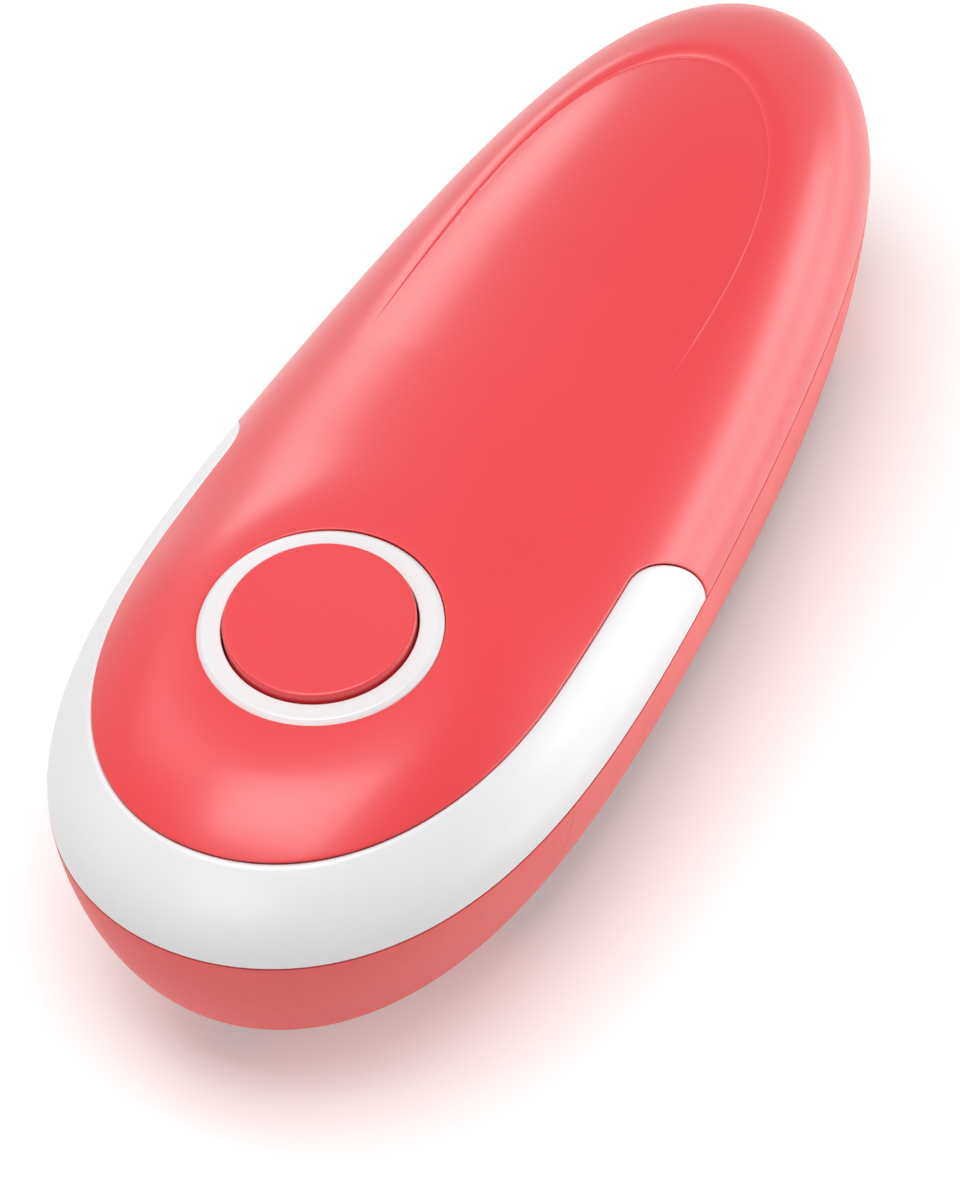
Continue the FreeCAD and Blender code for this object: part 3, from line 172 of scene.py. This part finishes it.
def plastic(name, look):
    finish = Finish(name)
    where = finish.place()
    broad = finish.noise(where, plasticGrain["cloud"], 4.0)
    cloud = finish.ramp(broad, plasticGrain["cloudLow"], plasticGrain["cloudHigh"])
    speck = finish.noise(where, look["grain"] * plasticGrain["speckShare"], 2.0)
    grain = finish.noise(where, look["grain"], 3.0, 0.6)
    finish.set(BaseColor=finish.blend(cloud * 0.6 + speck * 0.3, look["colour"], look["deep"]),
               Roughness=(cloud + speck - 1) * look["spread"] + look["rough"],
               Normal=finish.bump(grain + speck * 0.5, look["relief"]),
               CoatWeight=look["coat"], CoatRoughness=plasticGrain["coatRough"])
    return finish.material


# metals, brushed along one direction
metalLooks = {
    "plated_steel": {"colour": (0.66, 0.66, 0.64), "deep": (0.52, 0.52, 0.50), "rough": 0.28, "brush": 900.0},
    "tool_steel": {"colour": (0.58, 0.59, 0.60), "deep": (0.42, 0.43, 0.44), "rough": 0.22, "brush": 1600.0},
    "bronze": {"colour": (0.62, 0.38, 0.16), "deep": (0.46, 0.26, 0.10), "rough": 0.38, "brush": 700.0},
    "motor_steel": {"colour": (0.60, 0.61, 0.62), "deep": (0.50, 0.51, 0.52), "rough": 0.34, "brush": 600.0},
    "magnet_nickel": {"colour": (0.74, 0.72, 0.68), "deep": (0.62, 0.60, 0.57), "rough": 0.16,
                      "brush": 500.0},
}
metalGrain = {"cloud": 90.0, "cloudLow": 0.3, "cloudHigh": 0.7, "stretch": (1.0, 12.0, 1.0),
              "relief": 0.000004}


def metal(name, look):
    finish = Finish(name)
    broad = finish.noise(finish.place(), metalGrain["cloud"], 4.0)
    cloud = finish.ramp(broad, metalGrain["cloudLow"], metalGrain["cloudHigh"])
    lines = finish.noise(finish.place(metalGrain["stretch"]), look["brush"], 2.0)
    finish.set(BaseColor=finish.blend(cloud * 0.7 + lines * 0.2, look["colour"], look["deep"]),
               Roughness=cloud * 0.10 + lines * 0.08 + (look["rough"] - 0.06),
               Normal=finish.bump(lines, metalGrain["relief"]), Metallic=1.0)
    return finish.material


# printed film round a battery cell
jacket = {"colour": (0.075, 0.12, 0.20), "deep": (0.045, 0.075, 0.13), "rough": 0.24, "coat": 0.3,
          "cloud": 120.0, "wrap": 60.0, "wrapBend": 0.6, "relief": 0.000004}


def makeJacket():
    finish = Finish("cell_jacket")
    where = finish.place()
    cloud = finish.noise(where, jacket["cloud"], 3.0)
    bands = {"Vector": where, "Scale": jacket["wrap"], "Distortion": jacket["wrapBend"], "Detail": 1.0}
    wrap = finish.add("ShaderNodeTexWave", {"wave_type": "BANDS", "bands_direction": "X"}, bands)
    finish.set(BaseColor=finish.blend(cloud * 0.5 + wrap * 0.15, jacket["colour"], jacket["deep"]),
               Roughness=cloud * 0.12 + jacket["rough"],
               Normal=finish.bump(wrap, jacket["relief"]), CoatWeight=jacket["coat"])
    return finish.material


# lacquered circuit board over a fine weave
board = {"colour": (0.015, 0.13, 0.055), "deep": (0.010, 0.09, 0.040), "rough": 0.30, "cloud": 200.0,
         "weave": 1800.0, "relief": 0.000004}


def makeBoard():
    finish = Finish("board_green")
    where = finish.place()
    weave = finish.add("ShaderNodeTexChecker", {}, {"Vector": where, "Scale": board["weave"]}, "Fac")
    cloud = finish.noise(where, board["cloud"], 3.0)
    finish.set(BaseColor=finish.blend(cloud, board["colour"], board["deep"]),
               Roughness=cloud * 0.15 + board["rough"], Normal=finish.bump(weave, board["relief"]))
    return finish.material


materials = {name: plastic(name, look) for name, look in plasticLooks.items()}
materials.update({name: metal(name, look) for name, look in metalLooks.items()})
materials["cell_jacket"] = makeJacket()
materials["board_green"] = makeBoard()
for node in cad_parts.values():
    for slot in node.material_slots:
        slot.material = materials[slot.material.name.split(".")[0]]
print("materials made:", len(materials))

# the body's outer form, in metres: the same curves that the frame was built on
shape = {
    "length": cadBox[1].x - cadBox[0].x,
    "width": 0.0726,
    "rise": 0.0217,
    "fullness": 0.012,
    "planShares": (1.479, 0.913, 0.797, 1.047),
    "crestShares": (1.502, 0.796, 0.652, 1.764),
    "buttonFromNose": 0.0427,
    "buttonPlane": 0.05055,
    "buttonTilt": math.radians(5.5),
    "bezelRadius": 0.0161,
    "bezelProud": 0.00035,
    "bezelGap": 0.00012,
    "flatReach": 0.0241,
    "bandRise": 0.01185,
    "bandReach": 0.0725,
    "bandGap": 0.0002,
    "scoopStart": 0.0936,
    "scoopEnd": 0.1630,
    "scoopHalf": 0.0207,
    "scoopDepth": 0.0012,
    "scoopCorner": 3.6,
    "scoopLeast": 20.0,
}
noseX = cadBox[0].x
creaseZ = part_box("upper_shell")[0].z


def cubic(shares, t):
    u = 1 - t
    return shares[0] * u ** 3 + 3 * shares[1] * t * u * u + 3 * shares[2] * t * t * u + shares[3] * t ** 3


# a point of the top: t from nose to tail, turn from one side over to the other
def formPoint(t, turn, inset=0.0):
    swell = 2 * math.sqrt(max(t * (1 - t), 0.0))
    x = noseX + inset + (shape["length"] - 2 * inset) * t
    if swell < 1e-6:  # the very tip, where all turns meet
        return Vector((x, 0.0, creaseZ))
    half = swell * (shape["width"] / 2 * cubic(shape["planShares"], t) - inset)
    side = (math.cos(turn) - shape["fullness"] * math.cos(3 * turn)) / (1 - shape["fullness"])
    rise = swell * (shape["rise"] * cubic(shape["crestShares"], t) - inset)
    y = half * side
    z = creaseZ + rise * math.sin(turn)
    fromButton = x - noseX - shape["buttonFromNose"]
    flat = math.exp(-(math.hypot(fromButton, y) / shape["flatReach"]) ** 4) * math.sin(turn)
    plane = shape["buttonPlane"] + fromButton * math.tan(shape["buttonTilt"])
    z += flat * (plane - shape["bezelProud"] - inset - z)
    return Vector((x, y, z))


# the same point from a place on the flat grid, 0 to 1 each way, with lines crowding at nose and tail
def gridPoint(flat, inset=0.0):
    return formPoint((1 - math.cos(math.pi * flat.x)) / 2, math.pi * flat.y, inset)


# how far inside the band's outline a point is, seen from the side
def insideBand(point, grow=0.0):
    reach = shape["bandRise"] + grow
    along = point.x - noseX - shape["bandReach"]
    height = point.z - creaseZ
    return reach - (height if along < 0 else math.hypot(along, height))


# how far inside the bezel's hole a point is, seen along the button's leaning axis
def insideHole(point):
    along = point.x - noseX - shape["buttonFromNose"]
    lift = point.z - shape["buttonPlane"]
    flat = along * math.cos(shape["buttonTilt"]) + lift * math.sin(shape["buttonTilt"])
    return shape["bezelRadius"] + shape["bezelGap"] - math.hypot(flat, point.y)


# how far along the thumb rest a place is: 0 at its start, 1 at its end
def scoopShare(x):
    return (x - noseX - shape["scoopStart"]) / (shape["scoopEnd"] - shape["scoopStart"])


# how far inside the thumb rest's outline a point is, seen from above
def insideScoop(point):
    share = max(scoopShare(point.x), 0.0)
    across = abs(point.y) / shape["scoopHalf"]
    corner = shape["scoopCorner"]
    level = 1 - across ** 2 - share ** corner
    slopeX = corner * share ** (corner - 1) / (shape["scoopEnd"] - shape["scoopStart"])
    slopeY = 2 * across / shape["scoopHalf"]
    return level / max(math.hypot(slopeX, slopeY), shape["scoopLeast"])


# how lines are cut into a flat grid and edges are rounded
cutting = {
    "tries": 4,
    "snap": 0.25,
    "merge": 2e-6,
    "sliver": 1e-6,
    "rounding": (0.04, 0.16, 0.4, 0.7, 1.0),
}


# a flat grid, 0 to 1 each way; its layer marks the corners that already lie on a line
def gridMesh(columns, rows):
    mesh = bmesh.new()
    mesh.verts.layers.int.new("held")
    bmesh.ops.create_grid(mesh, x_segments=columns, y_segments=rows, size=0.5)
    bmesh.ops.translate(mesh, verts=mesh.verts, vec=(0.5, 0.5, 0.0))
    return mesh


# lay edges of the flat grid along the lines where measure has the given values
def cutAlong(mesh, measure, values):
    held = mesh.verts.layers.int["held"]
    known = {vert: measure(gridPoint(vert.co)) for vert in mesh.verts}
    for value in values:
        def crossed(edge):
            first, second = (known[vert] - value for vert in edge.verts)
            return first * second < 0

        # where along the edge the value is met, closed in on by straight guesses
        def crossing(first, second):
            low, high = 0.0, 1.0
            lowOff, highOff = known[first] - value, known[second] - value
            for guess in range(cutting["tries"]):
                part = low + (high - low) * lowOff / (lowOff - highOff)
                off = measure(gridPoint(first.co.lerp(second.co, part))) - value
                if off * lowOff > 0:
                    low, lowOff = part, off
                else:
                    high, highOff = part, off
            return part

        def movable(vert):
            return not vert[held] and 0 < vert.co.x < 1 and 0 < vert.co.y < 1

        line = [vert for vert in mesh.verts if known[vert] == value]
        for edge in mesh.edges:
            if crossed(edge):
                first, second = edge.verts
                part = crossing(first, second)
                near = first if part < 0.5 else second
                if min(part, 1 - part) < cutting["snap"] and movable(near):
                    near.co = first.co.lerp(second.co, part)
                    near[held] = 1
                    known[near] = value
                    line.append(near)
        for edge in [edge for edge in mesh.edges if crossed(edge)]:
            first, second = edge.verts
            fresh = bmesh.utils.edge_split(edge, first, crossing(first, second))[1]
            fresh[held] = 1
            known[fresh] = value
            line.append(fresh)
        bmesh.ops.connect_verts(mesh, verts=line)


# leave out the faces whose middle is unwanted
def dropFaces(mesh, unwanted):
    faces = [face for face in mesh.faces if unwanted(gridPoint(face.calc_center_median()))]
    bmesh.ops.delete(mesh, geom=faces, context="FACES")
    loose = [vert for vert in mesh.verts if not vert.link_faces]
    bmesh.ops.delete(mesh, geom=loose, context="VERTS")


# how deep a rounded edge lies, at a distance from its end
def roundDepth(distance, radius):
    if distance >= radius:
        return 0.0
    return radius - math.sqrt(max(radius ** 2 - (radius - max(distance, 0.0)) ** 2, 0.0))


# the distances from an edge at which its rounding needs lines
def roundLines(radius, sign=1):
    return [sign * radius * share for share in cutting["rounding"]]


# give the flat grid its outer side and its inner side, a wall apart, and make it a piece
def wallFromGrid(name, mesh, outer, inner):
    grown = bmesh.ops.extrude_face_region(mesh, geom=mesh.faces[:], use_keep_orig=True)
    insideVerts = {item for item in grown["geom"] if isinstance(item, bmesh.types.BMVert)}
    for vert in mesh.verts:
        flat = vert.co.copy()
        vert.co = inner(flat) if vert in insideVerts else outer(flat)
    bmesh.ops.remove_doubles(mesh, verts=mesh.verts[:], dist=cutting["merge"])
    bmesh.ops.dissolve_degenerate(mesh, edges=mesh.edges[:], dist=cutting["sliver"])
    bmesh.ops.recalc_face_normals(mesh, faces=mesh.faces[:])
    if mesh.calc_volume(signed=True) < 0:
        bmesh.ops.reverse_faces(mesh, faces=mesh.faces[:])
    return finishPiece(name, mesh)


def finishPiece(name, mesh, smooth=True):
    data = bpy.data.meshes.new(name)
    for face in mesh.faces:
        face.smooth = smooth
    mesh.to_mesh(data)
    mesh.free()
    piece = bpy.data.objects.new(name, data)
    bpy.context.scene.collection.objects.link(piece)
    return piece


# give a piece its material and the body that it rides on, and hide the nodes that it stands for
def dress(piece, slot, body, *nodes):
    piece.data.materials.append(materials[slot])
    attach(piece, body)
    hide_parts(*nodes)
    print("piece:", piece.name, len(piece.data.polygons), "faces")


# top shell with its thumb rest, the step for the band and the hole for the bezel
shell = {
    "columns": 250,
    "rows": 116,
    "wall": 0.0024,
    "bandSeat": 0.00125,
    "seatRamp": 0.00002,
    "edge": 0.00022,
    "rimWide": 0.0034,
    "rimCurve": 2.2,
    "footWide": 0.00024,
    "footDepth": 0.00026,
    "footLead": 3,
    "rimLines": (-0.0034, -0.0027, -0.0021, -0.0016, -0.0012, -0.0008, -0.0004, -0.0001,
                 0.0, 0.00008, 0.00016, 0.00024),
}


# how far the thumb rest lies below the form: a rounded wall outside its outline, a crisp foot on it
def scoopFall(point):
    inward = insideScoop(point)
    share = min(max(1 + inward / shell["rimWide"], 0.0), 1.0)
    foot = min(max(inward / shell["footWide"], 0.0), 1.0)
    lead = min(max(scoopShare(point.x), 0.0), 1.0)
    deepest = (shape["scoopDepth"] - shell["footDepth"]) * math.sin(math.pi / 2 * lead)
    step = shell["footDepth"] * min(shell["footLead"] * lead, 1.0)
    return deepest * share ** shell["rimCurve"] + step * foot * foot * (3 - 2 * foot)


# the outer side, let in under the band and rounded at every edge
def shellOuter(flat):
    point = gridPoint(flat)
    outside = -insideBand(point, shape["bandGap"])
    depth = max(roundDepth(point.z - creaseZ, shell["edge"]), roundDepth(-insideHole(point), shell["edge"]))
    if outside < -cutting["sliver"]:
        depth = shell["bandSeat"]
    else:
        depth = max(depth, roundDepth(outside, shell["edge"]))
    placed = gridPoint(flat, depth)
    placed.z -= scoopFall(point) * math.sin(math.pi * flat.y)
    return placed


def shellInner(flat):
    placed = gridPoint(flat, shell["wall"])
    placed.z -= scoopFall(gridPoint(flat)) * math.sin(math.pi * flat.y)
    return placed


def makeTopShell():
    mesh = gridMesh(shell["columns"], shell["rows"])
    outwards = roundLines(shell["edge"], -1)
    cutAlong(mesh, insideHole, [0.0] + outwards)
    dropFaces(mesh, lambda point: insideHole(point) > 0)
    cutAlong(mesh, lambda point: insideBand(point, shape["bandGap"]), [shell["seatRamp"], 0.0] + outwards)
    cutAlong(mesh, insideScoop, shell["rimLines"])
    cutAlong(mesh, lambda point: point.z - creaseZ, roundLines(shell["edge"]))
    return wallFromGrid("topShell", mesh, shellOuter, shellInner)


# light band round the nose
band = {"columns": 220, "rows": 150, "wall": 0.0012, "edge": 0.00035, "trim": 0.004}


def bandOuter(flat):
    point = gridPoint(flat)
    depth = max(roundDepth(insideBand(point), band["edge"]), roundDepth(point.z - creaseZ, band["edge"]))
    return gridPoint(flat, depth)


def makeBand():
    mesh = gridMesh(band["columns"], band["rows"])
    dropFaces(mesh, lambda point: insideBand(point) < -band["trim"])
    cutAlong(mesh, insideBand, [0.0] + roundLines(band["edge"]))
    dropFaces(mesh, lambda point: insideBand(point) < 0)
    cutAlong(mesh, lambda point: point.z - creaseZ, roundLines(band["edge"]))
    return wallFromGrid("noseBand", mesh, bandOuter, lambda flat: gridPoint(flat, band["wall"]))


# how the button's ring and cap are turned, on its leaning axis
turning = {"steps": 144, "merge": 1e-7, "sharp": math.radians(20), "edgeSteps": 4, "flatWeight": 80}


# radii and heights are spun to a closed shape, and its sharp edges are rounded
def turned(name, profile, edge):
    mesh = bmesh.new()
    verts = [mesh.verts.new((radius, 0.0, height)) for radius, height in profile]
    edges = [mesh.edges.new(pair) for pair in zip(verts, verts[1:])]
    bmesh.ops.spin(mesh, geom=verts + edges, cent=(0, 0, 0), axis=(0, 0, 1), angle=2 * math.pi,
                   steps=turning["steps"], use_merge=True)
    bmesh.ops.remove_doubles(mesh, verts=mesh.verts[:], dist=turning["merge"])
    bmesh.ops.dissolve_degenerate(mesh, edges=mesh.edges[:], dist=turning["merge"])
    bmesh.ops.recalc_face_normals(mesh, faces=mesh.faces[:])
    shared = [item for item in mesh.edges if len(item.link_faces) == 2]
    sharp = [item for item in shared if item.calc_face_angle() > turning["sharp"]]
    bmesh.ops.bevel(mesh, geom=sharp, offset=edge, offset_type="OFFSET", segments=turning["edgeSteps"],
                    profile=0.5, affect="EDGES", material=-1, clamp_overlap=True)
    leaning = Matrix.Translation((noseX + shape["buttonFromNose"], 0.0, shape["buttonPlane"]))
    leaning = leaning @ Matrix.Rotation(-shape["buttonTilt"], 4, "Y")
    bmesh.ops.transform(mesh, matrix=leaning, verts=mesh.verts[:])
    piece = finishPiece(name, mesh)
    weighted = piece.modifiers.new("faceNormals", "WEIGHTED_NORMAL")
    weighted.weight = turning["flatWeight"]
    return piece


# light ring round the button
ring = {
    "inner": 0.0129,
    "outer": 0.0161,
    "flange": 0.0173,
    "step": 0.0042,
    "depth": 0.0067,
    "chamferWide": 0.00075,
    "chamferHigh": 0.0006,
    "edge": 0.00018,
}


def makeRing():
    low = -ring["depth"]
    profile = [(ring["inner"], 0.0), (ring["outer"] - ring["chamferWide"], 0.0),
               (ring["outer"], -ring["chamferHigh"]), (ring["outer"], -ring["step"]),
               (ring["flange"], -ring["step"]), (ring["flange"], low),
               (ring["inner"], low), (ring["inner"], 0.0)]
    return turned("buttonRing", profile, ring["edge"])


# the button's cap, its face slightly dished
cap = {
    "radius": 0.0126,
    "proud": 0.00137,
    "dish": 0.00022,
    "dishSteps": 8,
    "skirt": 0.0070,
    "flange": 0.0142,
    "rimLow": 0.0084,
    "wall": 0.0016,
    "stem": 0.0022,
    "stemEnd": 0.0104,
    "edge": 0.00045,
}


def makeCap():
    shares = [step / cap["dishSteps"] for step in range(cap["dishSteps"] + 1)]
    face = [(cap["radius"] * share, cap["proud"] - cap["dish"] * (1 - share ** 2)) for share in shares]
    inside = cap["radius"] - cap["wall"]
    profile = face + [(cap["radius"], -cap["skirt"]), (cap["flange"], -cap["skirt"]),
                      (cap["flange"], -cap["rimLow"]), (inside, -cap["rimLow"]), (inside, -cap["wall"]),
                      (cap["stem"], -cap["wall"]), (cap["stem"], -cap["stemEnd"]), (0.0, -cap["stemEnd"])]
    return turned("buttonCap", profile, cap["edge"])


dress(makeTopShell(), "red_shell", "housing", "upper_shell")
dress(makeBand(), "white_trim", "housing", "accent_band")
dress(makeRing(), "white_trim", "housing", "button_bezel")
dress(makeCap(), "red_shell", "button", "push_button")

print("pieces made")

# floor, world and lamps; a strength of 1 is white
studio = {
    "floor": (0.86, 0.86, 0.86),
    "floorRough": 0.9,
    "floorGlow": 0.24,
    "floorHalf": 3.0,
    "floorDrop": 0.0002,
    "fadeStart": 0.22,
    "fadeEnd": 0.60,
    "ambient": 0.22,
}
# where each lamp stands (around, above, far), how it leans, its size and its strength
lamps = {
    "overhead": {"around": 180, "above": 80, "lean": 80, "far": 1.0,
                 "wide": 0.74, "high": 0.60, "glow": 5.1},
    "rightSoftbox": {"around": -50, "above": 8, "lean": 8, "far": 1.0,
                     "wide": 0.80, "high": 0.26, "glow": 3.9},
    "rightPanel": {"around": -58, "above": -3.4, "lean": -90, "far": 0.36,
                   "wide": 0.46, "high": 0.46, "glow": 1.6},
    "frontSoftbox": {"around": 180, "above": 30, "lean": 30, "far": 1.0,
                     "wide": 0.60, "high": 0.40, "glow": 1.7},
    "farStrip": {"around": 45, "above": 20, "lean": 20, "far": 1.0,
                 "wide": 0.22, "high": 0.30, "glow": 3.6},
    "leftSoftbox": {"around": 80, "above": 50, "lean": 50, "far": 1.0,
                    "wide": 0.40, "high": 0.40, "glow": 1.5},
}
middle = (cadBox[0] + cadBox[1]) / 2


# a pale floor just under the object, clear from below and where it is seen far out
def makeFloor():
    mesh = bmesh.new()
    bmesh.ops.create_grid(mesh, x_segments=1, y_segments=1, size=studio["floorHalf"])
    bmesh.ops.translate(mesh, verts=mesh.verts, vec=(0, 0, -studio["floorDrop"]))
    floor = finishPiece("studioFloor", mesh, smooth=False)
    finish = Finish("studioFloor")
    glow = finish.blend(finish.seen(), (0.0, 0.0, 0.0), (studio["floorGlow"],) * 3)
    finish.set(BaseColor=studio["floor"], Roughness=studio["floorRough"],
               EmissionColor=glow, EmissionStrength=1.0)
    away = finish.add("ShaderNodeVectorMath", {"operation": "LENGTH"}, {0: finish.place()}, "Value")
    far = finish.ramp(away, studio["fadeStart"], studio["fadeEnd"])
    below = finish.add("ShaderNodeNewGeometry", out="Backfacing")
    gone = 1 - (1 - finish.ray("Camera") * far) * (1 - below)
    clear = finish.add("ShaderNodeBsdfTransparent")
    surface = Link(finish, finish.shader.outputs[0])
    mixed = finish.add("ShaderNodeMixShader", {}, {0: gone, 1: surface, 2: clear})
    finish.feed(finish.tree.nodes["Material Output"].inputs["Surface"], mixed)
    floor.data.materials.append(finish.material)


# a white surround for what is seen, and a dimmer one that lights the object
def makeWorld():
    world = bpy.data.worlds.new("studioAir")
    bpy.context.scene.world = world
    world.use_nodes = True
    air = Graph(world.node_tree)
    colour = air.blend(air.seen(), (studio["ambient"],) * 3, (1.0, 1.0, 1.0))
    background = air.tree.nodes["Background"]
    air.feed(background.inputs["Color"], colour)
    air.feed(background.inputs["Strength"], 1.0)


# a way out from the middle: degrees around from the tail end, and above the floor
def outward(around, above):
    around, above = math.radians(around), math.radians(above)
    return Vector((math.cos(around) * math.cos(above), math.sin(around) * math.cos(above), math.sin(above)))


# a soft rectangular lamp that the camera doesn't see
def makeLamp(name, look):
    data = bpy.data.lights.new(name, "AREA")
    data.shape = "RECTANGLE"
    data.size = look["wide"]
    data.size_y = look["high"]
    data.energy = look["glow"] * math.pi * look["wide"] * look["high"]
    lamp = bpy.data.objects.new(name, data)
    bpy.context.scene.collection.objects.link(lamp)
    lamp.location = middle + outward(look["around"], look["above"]) * look["far"]
    lamp.rotation_euler = outward(look["around"], look["lean"]).to_track_quat("Z", "Y").to_euler()
    lamp.visible_camera = False


makeFloor()
makeWorld()
for lampName, lampLook in lamps.items():
    makeLamp(lampName, lampLook)
print("studio made")

# the camera: where it stands from its target, its lens, and how it is turned past the target
eye = {
    "azimuth": math.radians(61.843),
    "elevation": math.radians(45.594),
    "roll": math.radians(2.617),
    "far": 0.80456,
    "lens": 178.0,
    "sensor": 36.0,
    "aside": 0.00071,
    "lower": 0.01357,
    "target": (-0.0095, 0.0, 0.030),
}


def makeCamera():
    azimuth, elevation = eye["azimuth"], eye["elevation"]
    level = Vector((math.sin(azimuth), math.cos(azimuth), 0.0))
    ahead = level * math.cos(elevation) - Vector((0.0, 0.0, math.sin(elevation)))
    right = Vector((math.cos(azimuth), -math.sin(azimuth), 0.0))
    up = right.cross(ahead)
    place = Vector(eye["target"]) - ahead * eye["far"]
    ahead = (ahead + right * eye["aside"] - up * eye["lower"]).normalized()
    right = ahead.cross(up).normalized()
    up = right.cross(ahead)
    across = right * math.cos(eye["roll"]) - up * math.sin(eye["roll"])
    above = up * math.cos(eye["roll"]) + right * math.sin(eye["roll"])
    data = bpy.data.cameras.new("studioCamera")
    data.lens = eye["lens"]
    data.sensor_width = eye["sensor"]
    camera = bpy.data.objects.new("studioCamera", data)
    bpy.context.scene.collection.objects.link(camera)
    turn = Matrix((across, above, -ahead)).transposed().to_4x4()
    camera.matrix_world = Matrix.Translation(place) @ turn
    bpy.context.scene.camera = camera


makeCamera()
bpy.context.scene.view_settings.view_transform = "Standard"
print("camera made")
